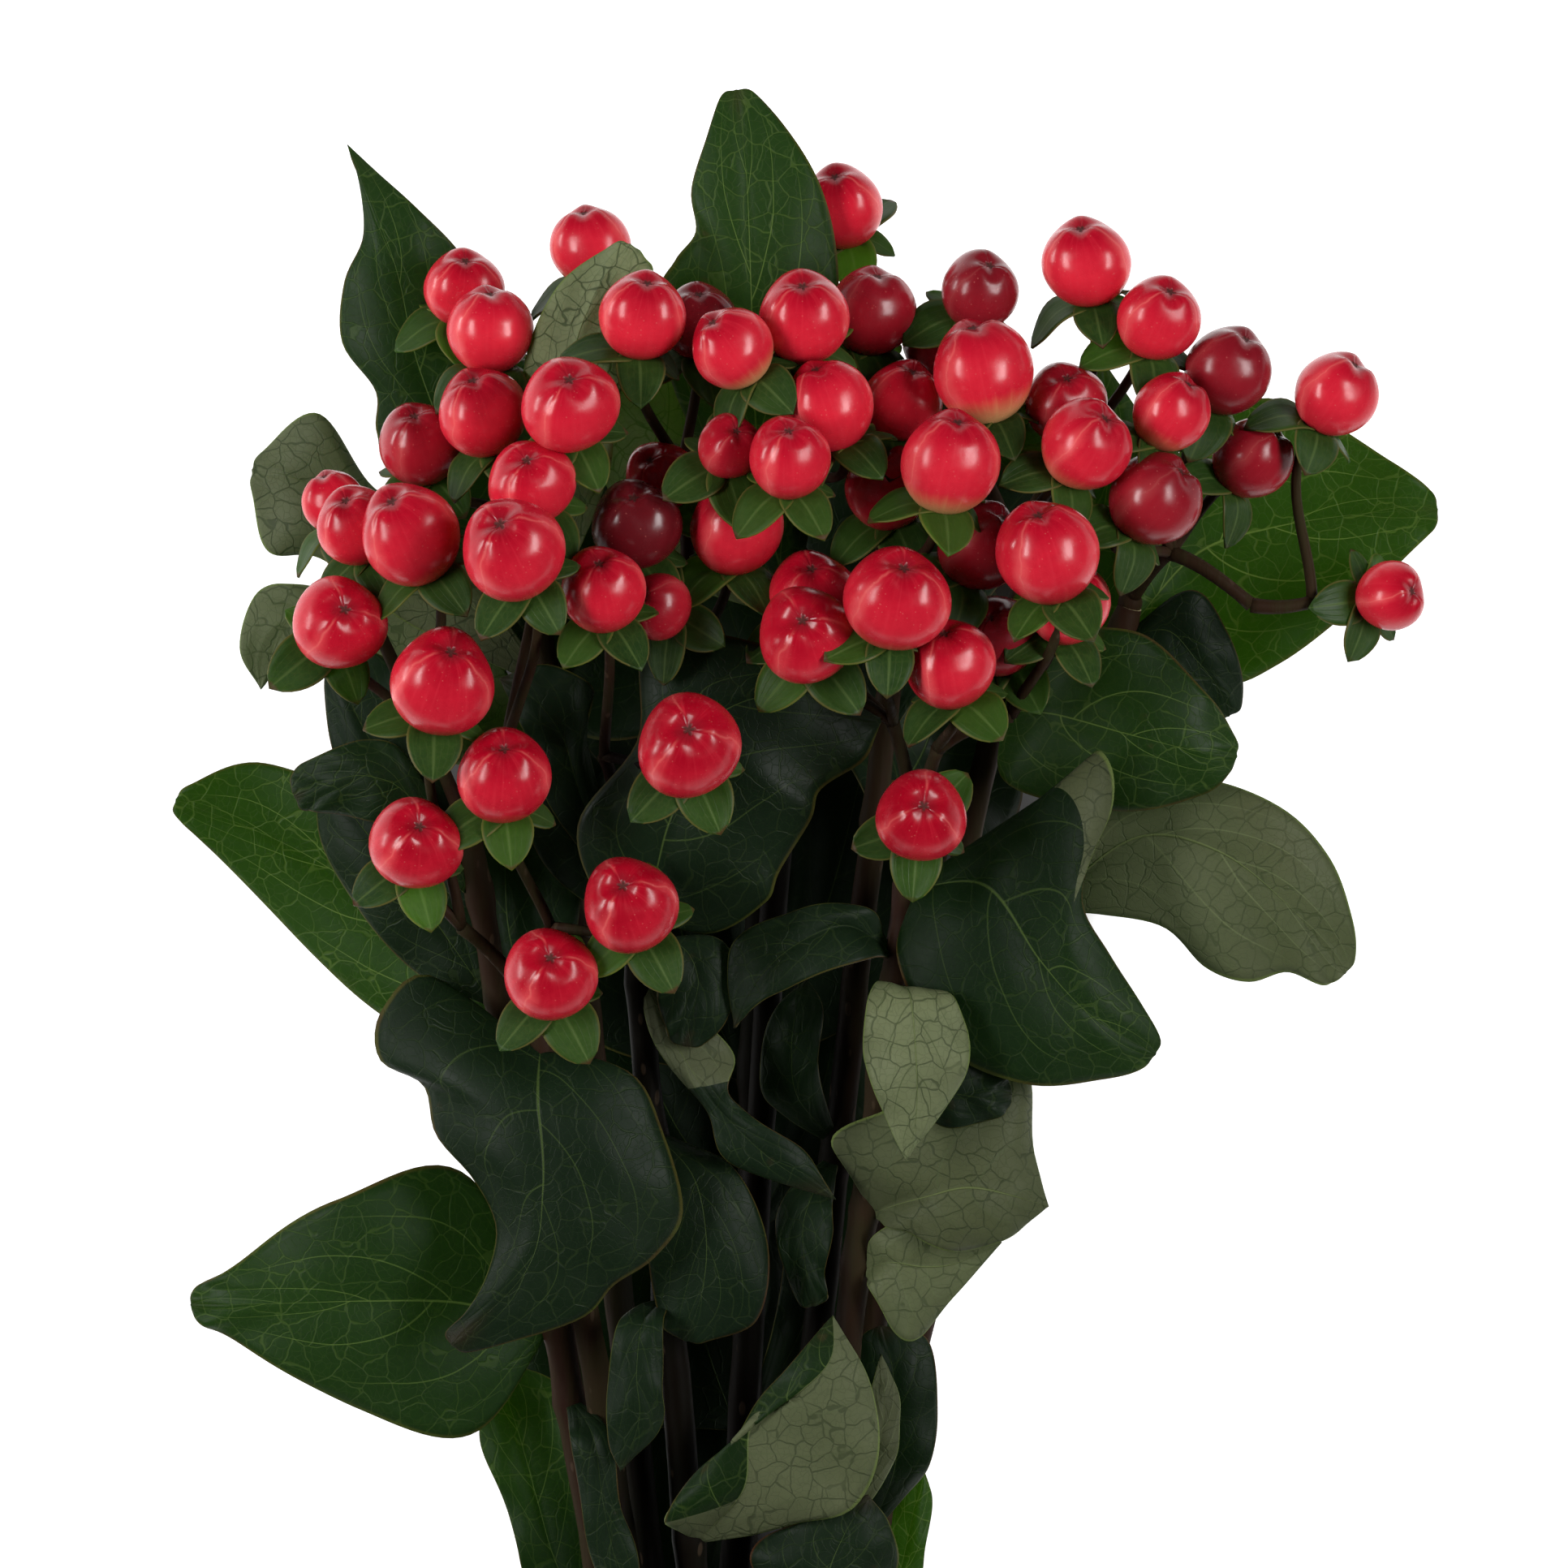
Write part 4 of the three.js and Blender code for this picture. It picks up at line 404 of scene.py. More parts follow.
        [(11, 128, 35.5), (11, 132.5, 37), (11.4, 137, 37)], fused=True),
}

# ---- curves ------------------------------------------------------------------------------------------


def smooth(value):
    """A soft step from 0 to 1."""
    value = min(1.0, max(0.0, value))
    return value * value * (3 - 2 * value)


def through(points, t):
    """A point on the smooth curve through some points, t from 0 to 1."""
    place = t * (len(points) - 1)
    k = min(int(place), len(points) - 2)
    s = place - k
    b, c = points[k], points[k + 1]
    a = points[k - 1] if k > 0 else b * 2 - c
    d = points[k + 2] if k + 2 < len(points) else c * 2 - b
    bend = (a * 2 - b * 5 + c * 4 - d) * s * s + (b * 3 - a - c * 3 + d) * s * s * s
    return (b * 2 + (c - a) * s + bend) * 0.5


def bezier(points, steps):
    """Points along the Bezier curve with these controls, one more than there are steps."""
    line = []
    for k in range(steps + 1):
        left = points
        while len(left) > 1:
            left = [a.lerp(b, k / steps) for a, b in zip(left, left[1:])]
        line.append(left[0])
    return line


def square_to(direction, wanted):
    """The direction square to one, as near as can be to another."""
    return (wanted - direction * wanted.dot(direction)).normalized()


def ray(side, up, angle):
    """The direction at an angle from side towards up."""
    return side * math.cos(angle) + up * math.sin(angle)


def stem_point(stem, y):
    """The middle of a stem, at a place along the bunch."""
    column = stem.column * PITCH / 2
    height = FIRST_ROW + stem.row * ROW
    if y < STRAIGHT:
        away = max(0.0, -y - STRAIGHT) / FOOT_REACH
        drop = FOOT_DROP + ROW_DROP * stem.row
        return Vector((column * (1 + FOOT_SPREAD * away), y, height - away * drop))
    part = ((y - STRAIGHT) / (stem.crown[1] - STRAIGHT)) ** stem.fan
    x = column + (stem.crown[0] - column) * part
    return Vector((x, y, height + (stem.crown[2] - height) * part))


def stem_radius(stem, y):
    return STEM_RADIUS - STEM_TAPER * (max(0.0, y) / stem.crown[1]) ** 2


def stem_direction(stem, y):
    return (stem_point(stem, y + 1) - stem_point(stem, y - 1)).normalized()


# ---- mesh tools --------------------------------------------------------------------------------------


def new_bmesh():
    """An empty bmesh with the map and the tone that the materials read."""
    bm = bmesh.new()
    bm.loops.layers.uv.new("UVMap")
    bm.verts.layers.float_color.new("tone")
    return bm


def ring_edges(bm, ring):
    return [bm.edges.get(pair) for pair in zip(ring, ring[1:] + ring[:1])]


def next_ring(bm, ring):
    """Extrudes a closed ring of vertices once, and gives the new ring in the same order."""
    made = bmesh.ops.extrude_edge_only(bm, edges=ring_edges(bm, ring))["geom"]
    fresh = {v for v in made if isinstance(v, bmesh.types.BMVert)}
    return [next(e.other_vert(v) for e in v.link_edges if e.other_vert(v) in fresh) for v in ring]


def add_tube(bm, points, radii, sides, end_material=0):
    """A closed tube through some points, its rings carried along so that they don't twist."""
    ahead = [
        (after - before).normalized()
        for before, after in zip(points[:1] + points[:-1], points[1:] + points[-1:])
    ]
    side = square_to(ahead[0], Vector((0, 0, 1)) if abs(ahead[0].z) < 0.8 else Vector((1, 0, 0)))
    ring = bmesh.ops.create_circle(bm, cap_ends=True, segments=sides, radius=1)["verts"]
    ends = [ring[0].link_faces[0]]
    for i, (point, radius) in enumerate(zip(points, radii)):
        if i:
            ring = next_ring(bm, ring)
        side = square_to(ahead[i], side)
        up = ahead[i].cross(side)
        for k, vert in enumerate(ring):
            vert.co = point + ray(side, up, 2 * math.pi * k / sides) * radius
    ends += bmesh.ops.edgeloop_fill(bm, edges=ring_edges(bm, ring))["faces"]
    for end in ends:
        end.material_index = end_material


def add_sheet(bm, columns, rows, shape, thickness):
    """A thin closed blade from a grid. shape(across, along) gives a point; across runs from -1 to 1.

    The upper face takes material 0 and the lower face material 1.
    """
    before = set(bm.verts)
    bmesh.ops.create_grid(bm, x_segments=columns, y_segments=rows, size=1)
    verts = [v for v in bm.verts if v not in before]
    place = {}
    for vert in verts:
        place[vert] = across, along = vert.co.x, (vert.co.y + 1) / 2
        vert.co = shape(across, along)
    tips = [v for v in verts if place[v][1] > 0.9999]
    middle = min(tips, key=lambda v: abs(place[v][0]))
    bmesh.ops.weld_verts(bm, targetmap={v: middle for v in tips if v is not middle})
    verts = [v for v in verts if v.is_valid]
    faces = list({f for v in verts for f in v.link_faces})
    for face in faces:
        face.normal_update()
    edges = list({e for f in faces for e in f.edges})
    copied = bmesh.ops.duplicate(bm, geom=verts + edges + faces)
    for vert in verts:
        vert.normal_update()
    offset = {v: v.normal * thickness(*place[v]) for v in verts}
    twins = [copied["vert_map"][v] for v in verts]
    for vert, twin in zip(verts, twins):
        place[twin] = place[vert]
        twin.co = vert.co - offset[vert] * 0.5
        vert.co = vert.co + offset[vert] * 0.5
    under = [f for f in copied["geom"] if isinstance(f, bmesh.types.BMFace)]
    bmesh.ops.reverse_faces(bm, faces=under)
    for face in under:
        face.material_index = 1
    border = [e for e in edges if e.is_boundary]
    border += [e for e in copied["geom"] if isinstance(e, bmesh.types.BMEdge) and e.is_boundary]
    rim = bmesh.ops.bridge_loops(bm, edges=border)["faces"]
    layer = bm.loops.layers.uv["UVMap"]
    for face in faces + under + rim:
        for loop in face.loops:
            across, along = place[loop.vert]
            loop[layer].uv = ((across + 1) / 2, along)
    return verts + twins


def paint(bm, verts, colour):
    """Gives vertices their tone: three numbers that the material of the piece reads."""
    layer = bm.verts.layers.float_color["tone"]
    for vert in verts:
        vert[layer] = (*colour, 1)


def add_object(name, bm, materials):
    """An object at the origin with a bmesh for its mesh."""
    mesh = bpy.data.meshes.new(name)
    bm.to_mesh(mesh)
    bm.free()
    for material in materials:
        mesh.materials.append(material)
    made = bpy.data.objects.new(name, mesh)
    bpy.context.scene.collection.objects.link(made)
    return made


def finish_piece(name, bm, materials, slot, node):
    """Turns a bmesh in millimetres into a finished piece that stands for its node."""
    if any(e.is_boundary for e in bm.edges):
        raise RuntimeError(f"{name} isn't closed")
    bmesh.ops.scale(bm, vec=(MM, MM, MM), verts=bm.verts)
    for face in bm.faces:
        face.smooth = True
    piece = add_object(name, bm, materials)
    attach(piece, "root")
    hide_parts(node)


# ---- shader tools ------------------------------------------------------------------------------------


def reckoned(operation, turned=False):
    """An operator of Value that lays out a math node. Turned, the other value comes first."""
    def operator(self, other=0.0):
        a, b = (other, self) if turned else (self, other)
        return self.nodes.math(operation, a, b)
    return operator


class Value:
    """A node's output that can be reckoned with. Each operation lays out a node."""

    def __init__(self, nodes, socket):
        self.nodes, self.socket = nodes, socket

    __add__ = reckoned("ADD")
    __sub__ = reckoned("SUBTRACT")
    __rsub__ = reckoned("SUBTRACT", turned=True)
    __mul__ = reckoned("MULTIPLY")
    __rtruediv__ = reckoned("DIVIDE", turned=True)
    __truediv__ = reckoned("DIVIDE")
    __abs__ = reckoned("ABSOLUTE")


class Outputs:
    """The outputs of a node as values, by name or by number."""

    def __init__(self, nodes, node):
        self.nodes, self.node = nodes, node

    def __getitem__(self, key):
        return Value(self.nodes, self.node.outputs[key])


class Nodes:
    """Lays out shader nodes from left to right and links what they are given."""

    def __init__(self, tree):
        self.tree = tree

    def fill(self, node, inputs):
        """Links values to a node's inputs, and sets what is a plain number or colour."""
        for key, value in inputs.items():
            if isinstance(value, Value):
                self.tree.links.new(value.socket, node.inputs[key])
            else:
                node.inputs[key].default_value = value

    def add(self, kind, inputs, **settings):
        column, row = divmod(len(self.tree.nodes), 4)
        node = self.tree.nodes.new(kind)
        node.location = (220 * column, -240 * row)
        for key, value in settings.items():
            setattr(node, key, value)
        self.fill(node, inputs)
        return Outputs(self, node)

    def math(self, operation, a, b=0.0, clamp=False):
        return self.add("ShaderNodeMath", {0: a, 1: b}, operation=operation, use_clamp=clamp)[0]

    def vector(self, operation, a, inputs):
        return self.add("ShaderNodeVectorMath", {0: a, **inputs}, operation=operation)[0]

    def step(self, value, low, high, start=0.0, end=1.0):
        inputs = {0: value, 1: low, 2: high, 3: start, 4: end}
        return self.add("ShaderNodeMapRange", inputs, interpolation_type="SMOOTHSTEP")[0]

    def mix(self, factor, a, b, blend="MIX"):
        a, b = (value if isinstance(value, Value) else (*value, 1) for value in (a, b))
        inputs = {0: factor, 6: a, 7: b}
        return self.add("ShaderNodeMix", inputs, data_type="RGBA", blend_type=blend)[2]

    def tint(self, colour, by):
        return self.mix(1.0, colour, by, "MULTIPLY")

    def layers(self, colour, *layers):
        """Lays colours over one another, each as far as its own factor goes."""
        for factor, over in layers:
            colour = self.mix(factor, colour, over)
        return colour

    def split(self, vector):
        return self.add("ShaderNodeSeparateXYZ", {0: vector})

    def stretch(self, vector, scale):
        return self.add("ShaderNodeMapping", {"Vector": vector, "Scale": scale})[0]

    def noise(self, vector, scale, detail=2.0, roughness=0.5, output=0):
        inputs = {"Vector": vector, "Scale": scale, "Detail": detail, "Roughness": roughness}
        return self.add("ShaderNodeTexNoise", inputs)[output]

    def cells(self, vector, scale, feature="F1"):
        inputs = {"Vector": vector, "Scale": scale}
        return self.add("ShaderNodeTexVoronoi", inputs, feature=feature)["Distance"]

    def bump(self, height, strength, distance):
        inputs = {"Height": height, "Strength": strength, "Distance": distance}
        return self.add("ShaderNodeBump", inputs)[0]

    def group(self, name, **inputs):
        """A node of a shared group, which is built on its first use."""
        if name not in bpy.data.node_groups:
            build, defaults = GROUPS[name]
            tree = bpy.data.node_groups.new(name, "ShaderNodeTree")
            for key, value in defaults.items():
                kind = "NodeSocketVector" if value is None else "NodeSocketFloat"
                socket = tree.interface.new_socket(key, in_out="INPUT", socket_type=kind)
                if value is not None:
                    socket.default_value = value
            n = Nodes(tree)
            outputs = build(n, n.add("NodeGroupInput", {}))
            for key in outputs:
                tree.interface.new_socket(key, in_out="OUTPUT", socket_type="NodeSocketFloat")
            n.add("NodeGroupOutput", outputs)
        return self.add("ShaderNodeGroup", inputs, node_tree=bpy.data.node_groups[name])


def blade_veins(n, given):
    """Midrib, side veins, margin and quilting of a blade, from its own across and along."""
    split = n.split(given["Blade"])
    width = given["Width"]
    across = split[0] * 2.0 - 1.0
    out = abs(across)
    along = split[1] + (n.noise(given["Wander"], 90.0, 1.0) - 0.5) * 0.05
    rib = out / (1.25 - along * 0.75)
    forward = out * 0.16 + out * out * 0.3
    shift = n.math("GREATER_THAN", across, 0.0) * 0.22
    phase = (along - forward) * given["Pairs"] + shift
    near = abs(n.math("FRACT", phase) - 0.5) * 2.0
    fade = n.step(out, 0.55, 0.95, 1.0, 0.15)
    return {
        "Midrib": n.step(rib, width * 0.2, width * 0.8, 1.0, 0.0),
        "Side": n.step(near, width * 0.6, width * 2.2, 1.0, 0.0) * fade,
        "Margin": n.step(out, 0.968, 0.988),
        "Quilt": n.step(near, 0.0, 0.7) * fade,
    }


def vein_net(n, given):
    """The fine net between the side veins: wide cells with narrower ones inside, broken in places."""
    vector, scale, width = given["Vector"], given["Scale"], given["Width"]
    wander = n.vector("SCALE", n.noise(vector, scale * 0.8, output=1), {"Scale": 0.7 / scale})
    place = n.vector("ADD", vector, {1: wander})
    wide = n.step(n.cells(place, scale, "DISTANCE_TO_EDGE"), width * 0.3, width, 1.0, 0.0)
    thin = n.cells(place, scale * 2.9, "DISTANCE_TO_EDGE")
    thin = n.step(thin, width * 0.3, width * 1.6, 0.3, 0.0)
    broken = n.step(n.noise(vector, scale * 0.5, 1.0), 0.25, 0.48, 0.45, 1.0)
    return {"Line": n.math("MAXIMUM", wide, thin) * broken}


def mottle(n, given):
    """Soft uneven colour, in two sizes of patch."""
    large = n.noise(given["Vector"], given["Scale"])
    small = n.noise(given["Vector"], given["Scale"] * 7.0, 3.0, 0.6)
    return {"Value": n.step(large * 0.65 + small * 0.35, 0.3, 0.7)}


# What builds each shared group, and its inputs. An input without a number is a vector.
GROUPS = {
    "Blade veins": (blade_veins, {"Blade": None, "Wander": None, "Pairs": 6.0, "Width": 0.05}),
    "Vein net": (vein_net, {"Vector": None, "Scale": 600.0, "Width": 0.08}),
    "Mottle": (mottle, {"Vector": None, "Scale": 60.0}),
}

# ---- materials ---------------------------------------------------------------------------------------


def make_material(name, colour, build, *settings):
    """The material of this name. On its first use, build lays out its nodes."""
    if name not in bpy.data.materials:
        material = bpy.data.materials.new(name)
        material.use_nodes = True
        material.diffuse_color = (*colour, 1)
        n = Nodes(material.node_tree)
        n.fill(n.tree.nodes["Principled BSDF"], build(n, *settings))
    return bpy.data.materials[name]


def surface(colour, roughness, normal, shine=0.5):
    """What most materials give their shader."""
    return {
        "Base Color": colour, "Roughness": roughness, "Normal": normal, "Specular IOR Level": shine
    }


def read_place(n, scale):
    """A point's place on the bunch, and mottling at this scale."""
    place = n.add("ShaderNodeTexCoord", {})["Object"]
    return place, n.group("Mottle", Vector=place, Scale=scale)["Value"]


def read_piece(n, scale):
    """A point's place and mottling, its place on its own leaf or berry, and the tone of that."""
    tone = n.add("ShaderNodeAttribute", {}, attribute_name="tone")["Color"]
    own = n.add("ShaderNodeUVMap", {}, uv_map="UVMap")[0]
    return *read_place(n, scale), own, n.add("ShaderNodeSeparateColor", {0: tone})


def read_veins(n, place, blade, pairs, width, net_scale, net_width):
    """The veins of a blade and the net between them. The net is flattened, or steep blades smear it."""
    flat = n.stretch(place, (1.0, 1.0, 0.3))
    net = n.group("Vein net", Vector=flat, Scale=net_scale, Width=net_width)["Line"]
    return n.group("Blade veins", Blade=blade, Wander=place, Pairs=pairs, Width=width), net


def let_light_through(n, colour, share):
    """Mixes in the light that shines through a blade from its other side."""
    glow = n.add("ShaderNodeBsdfTranslucent", {"Color": colour})[0]
    shader = Value(n, n.tree.nodes["Principled BSDF"].outputs[0])
    both = n.add("ShaderNodeMixShader", {0: share, 1: shader, 2: glow})[0]
    n.fill(n.tree.nodes["Material Output"], {"Surface": both})


def leaf_face(n, colours):
    """Waxy upper face: dark to bright green, partly painted light and shade, thin pale veins, faint net,
    brown-red margin.
    """
    place, patches, blade, tone = read_piece(n, 45.0)
    veins, net = read_veins(n, place, blade, 4.6, 0.018, 300.0, 0.034)
    # tone Red, how bright: partly a leaf's own younger green, partly painted light where light falls on it
    # or shines through
    base = n.mix(tone["Red"], colours.leaf_dark, colours.leaf_bright)
    base = n.mix(patches * 0.7, base, n.tint(base, (0.6, 0.68, 0.7)))
    # painted shade: tone Green, how deep, tints the face darker where it lies in shade
    base = n.mix(tone["Green"], base, n.tint(base, (0.3, 0.5, 0.3)))
    shown = (tone["Red"] * 0.6 + 0.14) * (1.0 - tone["Green"] * 0.6)
    tipward = n.step(n.split(blade)[1], 0.84, 1.0)
    tipward = tipward * n.step(n.noise(place, 90.0, 4.0), 0.4, 0.65, 0.05, 0.5)
    fleck = n.step(n.noise(place, 160.0, 3.0), 0.7, 0.74)
    colour = n.layers(
        base,
        (net * (shown * 0.45), colours.vein),
        (veins["Side"] * (shown * 1.3), colours.vein),
        (veins["Midrib"] * (shown + 0.2), colours.vein),
        (veins["Margin"] * 0.8, n.mix(patches, (0.1, 0.12, 0.02), (0.09, 0.03, 0.015))),
        (tipward, (0.05, 0.026, 0.016)),
        (fleck * tone["Blue"] * 0.7, (0.1, 0.05, 0.025)),
    )
    clear = n.mix(tone["Red"], colours.glow_dark, colours.glow)
    lines = n.math("MAXIMUM", veins["Side"], n.math("MAXIMUM", veins["Midrib"], net * 0.5))
    let_light_through(n, n.mix(lines * tone["Red"], clear, (0.95, 1.0, 0.4)), 0.35)
    rough = n.step(n.noise(place, 220.0, 3.0), 0.3, 0.7, 0.4, 0.5) + tone["Green"] * 0.1
    height = veins["Quilt"] * 0.25 - net * 0.35 - veins["Midrib"] * 0.5
    height = height + n.noise(place, 400.0, 3.0) * 0.08
    return surface(colour, rough, n.bump(height, 0.5, 0.0003), 0.14)


def leaf_underside(n, colours):
    """Matt grey-green underside with a dark net and raised pale ribs."""
    place, patches, blade, tone = read_piece(n, 50.0)
    veins, net = read_veins(n, place, blade, 4.4, 0.028, 380.0, 0.042)
    # tone Red, how bright: partly the underside's own paler grey-green, partly painted light
    base = n.mix(tone["Red"], colours.leaf_underside, (0.26, 0.29, 0.15))
    stain = n.step(n.noise(place, 70.0, 3.0), 0.6, 0.74)
    colour = n.layers(
        base,
        (patches * 0.5, n.tint(base, (0.62, 0.68, 0.62))),
        (n.step(n.noise(place, 28.0, 1.0), 0.45, 0.65, 0.0, 0.6), (0.15, 0.17, 0.09)),
        (net * (tone["Green"] * 0.5 + 0.25), (0.022, 0.034, 0.014)),
        (veins["Side"] * 0.75, n.mix(tone["Green"], (0.22, 0.26, 0.12), (0.016, 0.026, 0.01))),
        (veins["Midrib"] * 0.7, (0.2, 0.25, 0.09)),
        (stain * tone["Blue"] * 0.45, (0.16, 0.08, 0.045)),
        (veins["Margin"] * 0.8, (0.2, 0.27, 0.07)),
    )
    let_light_through(n, n.mix(tone["Red"] * 0.25, colours.glow_dark, colours.glow), 0.4)
    height = veins["Midrib"] * 1.2 - net * 0.35 + veins["Quilt"] * -0.4
    return surface(colour, n.step(patches, 0.0, 1.0, 0.5, 0.66), n.bump(height, 0.6, 0.0003), 0.2)


def sepal(n, base, light):
    """A small leafy sepal: parallel veins, yellowish foot and margin, brown tip."""
    place, patches, blade, tone = read_piece(n, 110.0)
    split = n.split(blade)
    out, along = abs(split[0] * 2.0 - 1.0), split[1]
    net = n.group("Vein net", Vector=place, Scale=900.0, Width=0.1)["Line"]
    ribs = n.step(abs(n.math("SINE", out * 12.0)), 0.0, 0.22, 1.0, 0.0)
    browned = n.step(along + n.noise(place, 700.0) * 0.12, 0.97, 1.03)
    browned = browned * n.step(tone["Green"], 0.25, 0.5)
    colour = n.layers(
        base,
        (patches * 0.7, light),
        (tone["Red"] * 0.6, light),
        (ribs * 0.4, (0.08, 0.13, 0.03)),
        (n.step(out, 0.02, 0.1, 0.6, 0.0), (0.12, 0.19, 0.05)),
        (net * 0.25, (0.08, 0.13, 0.03)),
        (n.step(along, 0.4, 0.0, 0.0, 0.75), (0.1, 0.17, 0.03)),
        (n.step(out, 0.9, 0.98, 0.0, 0.8), (0.16, 0.13, 0.035)),
        (browned * 0.9, (0.1, 0.035, 0.02)),
    )
    let_light_through(n, n.mix(tone["Red"], (0.12, 0.24, 0.05), (0.45, 0.75, 0.1)), 0.4)
    normal = n.bump(patches * 0.3 - ribs * 0.35, 0.4, 0.0002)
    return surface(colour, n.step(patches, 0.0, 1.0, 0.38, 0.52), normal, 0.2)


def berry_skin(n, colours):
    """Waxy red skin: seams and pale streaks from the tip, speckles, cream foot, dark star scar, with painted
    shade near the tip and on low berries and painted light towards the foot.
    """
    place, patches, polar, tone = read_piece(n, 170.0)
    split = n.split(polar)
    east, north = split[0] * 2.0 - 1.0, split[1] * 2.0 - 1.0
    away = n.math("SQRT", east * east + north * north)
    turn = n.math("ARCTAN2", north, east)
    wander = (n.noise(place, 260.0) - 0.5) * 0.5
    lobe = abs(n.math("COSINE", (turn + wander) * 1.5))
    seam = n.step(lobe * away, 0.0, 0.02, 1.0, 0.0) * n.step(away, 0.06, 0.14)
    band = n.step(lobe, 0.0, 0.42, 1.0, 0.0) * n.step(away, 0.1, 0.42)
    circle = {0: n.math("SINE", turn) * 6.0, 1: n.math("COSINE", turn) * 6.0, 2: away * 1.5}
    swirl = n.vector("ADD", n.add("ShaderNodeCombineXYZ", circle)[0], {1: place})
    streak = n.step(n.noise(swirl, 1.3, 3.0, 0.6), 0.45, 0.75)
    # deep: the skin's own darker patches, plus painted shade on berries lying low in the bunch and near the
    # tip
    deep = patches * 0.4 + tone["Green"] * 0.5
    deep = n.math("ADD", deep, n.step(away, 0.34, 0.1, 0.0, 0.5), clamp=True)
    speck = n.step(n.cells(place, 1300.0), 0.08, 0.14, 1.0, 0.0)
    star = abs(n.math("COSINE", turn * 2.5)) * 0.018
    ragged = n.noise(place, 1500.0) * 0.02
    scar = n.step(away - star + ragged, 0.012, 0.036, 1.0, 0.0)
    colour = n.layers(
        n.mix(deep, colours.berry, colours.berry_deep),
        # painted light: the skin is lighter red away from the tip, towards the foot
        (n.step(away, 0.14, 0.5) * (0.7 - deep * 0.6), (0.72, 0.026, 0.046)),
        (streak * 0.3, (0.66, 0.035, 0.055)),
        (band * 0.5, (0.82, 0.12, 0.125)),
        (seam * 0.22, (0.9, 0.24, 0.2)),
        (n.step(away + streak * 0.03, 0.56, 0.82) * tone["Blue"], (0.66, 0.42, 0.17)),
        (tone["Red"] * 0.93, colours.berry_dark),
        (speck * 0.22, (0.8, 0.24, 0.2)),
        (n.step(away + ragged, 0.03, 0.14, 0.6, 0.0), (0.16, 0.008, 0.014)),
        (scar * 0.9, (0.05, 0.012, 0.008)),
    )
    rough = n.step(n.noise(place, 500.0, 3.0), 0.3, 0.7, 0.2, 0.3)
    rough = n.math("ADD", rough, scar * 0.5, clamp=True)
    crease = n.step(lobe, 0.0, 0.3) * n.step(away, 0.1, 0.4, 0.4, 0.0)
    height = crease - scar * 1.2 + n.noise(place, 700.0) * 0.12
    return surface(colour, rough, n.bump(height, 0.45, 0.0003), 0.3)


def bark(n, colours, streaks):
    """Thin smooth bark, streaked along the stem, with pale corky dots, and painted shade inside the bunch.
    """
    place, patches = read_place(n, 35.0)
    split = n.split(place)
    streak = n.noise(n.stretch(place, (1.0, 0.12, 0.6)), streaks, 3.0, 0.6)
    streak = n.step(streak, 0.35, 0.68)
    base = n.mix(streak * 0.55 + patches * 0.45, colours.bark, colours.bark_green)
    # painted shade: the bark is tinted dark where the stems lie inside the bunch, less on the outer stems
    shaded = n.step(split[1], 0.035, 0.06) * n.step(split[1], 0.165, 0.2, 1.0, 0.0)
    shaded = shaded * n.step(abs(split[0]), 0.0125, 0.0165, 1.0, 0.35)
    dots = n.step(n.cells(n.stretch(place, (1.0, 0.4, 1.0)), 420.0), 0.12, 0.2, 1.0, 0.0)
    colour = n.layers(
        base, (shaded, n.tint(base, (0.1, 0.13, 0.12))), (dots * 0.2, (0.12, 0.08, 0.05))
    )
    normal = n.bump(streak + dots * 0.6, 0.5, 0.0002)
    return surface(colour, n.step(streak, 0.0, 1.0, 0.55, 0.72), normal, 0.05)


def cut_wood(n):
    """The cut end of a stem: pale wood in uneven patches."""
    _, patches = read_place(n, 400.0)
    colour = n.mix(patches, CUT_WOOD, (0.3, 0.24, 0.12))
    return surface(colour, n.step(patches, 0.0, 1.0, 0.6, 0.8), n.bump(patches, 0.5, 0.0002))


def rubber(n, colours):
    """A tan rubber band with a dull bloom and fine lines."""
    place, patches = read_place(n, 120.0)
    lines = n.noise(n.stretch(place, (0.2, 6.0, 0.2)), 300.0)
    colour = n.mix(patches, colours.band, (0.42, 0.29, 0.15))
    colour = n.mix(n.step(lines, 0.5, 0.7, 0.0, 0.25), colour, (0.75, 0.62, 0.42))
    return surface(colour, n.step(patches, 0.0, 1.0, 0.5, 0.7), n.bump(lines, 0.3, 0.0002))


def paper(n):
    """White paper that glows softly round the bunch, with a painted shadow under it: dark paper and no glow
    there.
    """
    split = n.split(n.add("ShaderNodeTexCoord", {})["Object"])
    wider = n.step(split[1], 0.125, 0.15, 0.0, 0.026)  # the painted shadow is narrow at the stems
    beside = n.step(abs(split[0] - 0.001) - wider, 0.012, 0.021)
    lit = n.math("MAXIMUM", beside, n.step(split[1], 0.196, 0.218))
    from_middle = n.math("MAXIMUM", abs(split[0] - VIEW_X), abs(split[1] - 0.165))
    glow = n.mix(lit * n.step(from_middle, 0.105, 0.2, 1.0, 0.0), (0, 0, 0), (1, 1, 1))
    # painted shadow: dark base colour and no glow where the paper is not lit
    return {
        "Base Color": n.mix(lit, (0.1, 0.1, 0.1), PAPER_WHITE), "Roughness": 0.8,
        "Emission Color": glow, "Emission Strength": 0.7,
    }


# ---- pieces ------------------------------------------------------------------------------------------

STEM_SIDES, BRANCH_SIDES, PEDICEL_SIDES = 14, 10, 8
BRANCH_STEPS, PEDICEL_STEPS = 8, 12
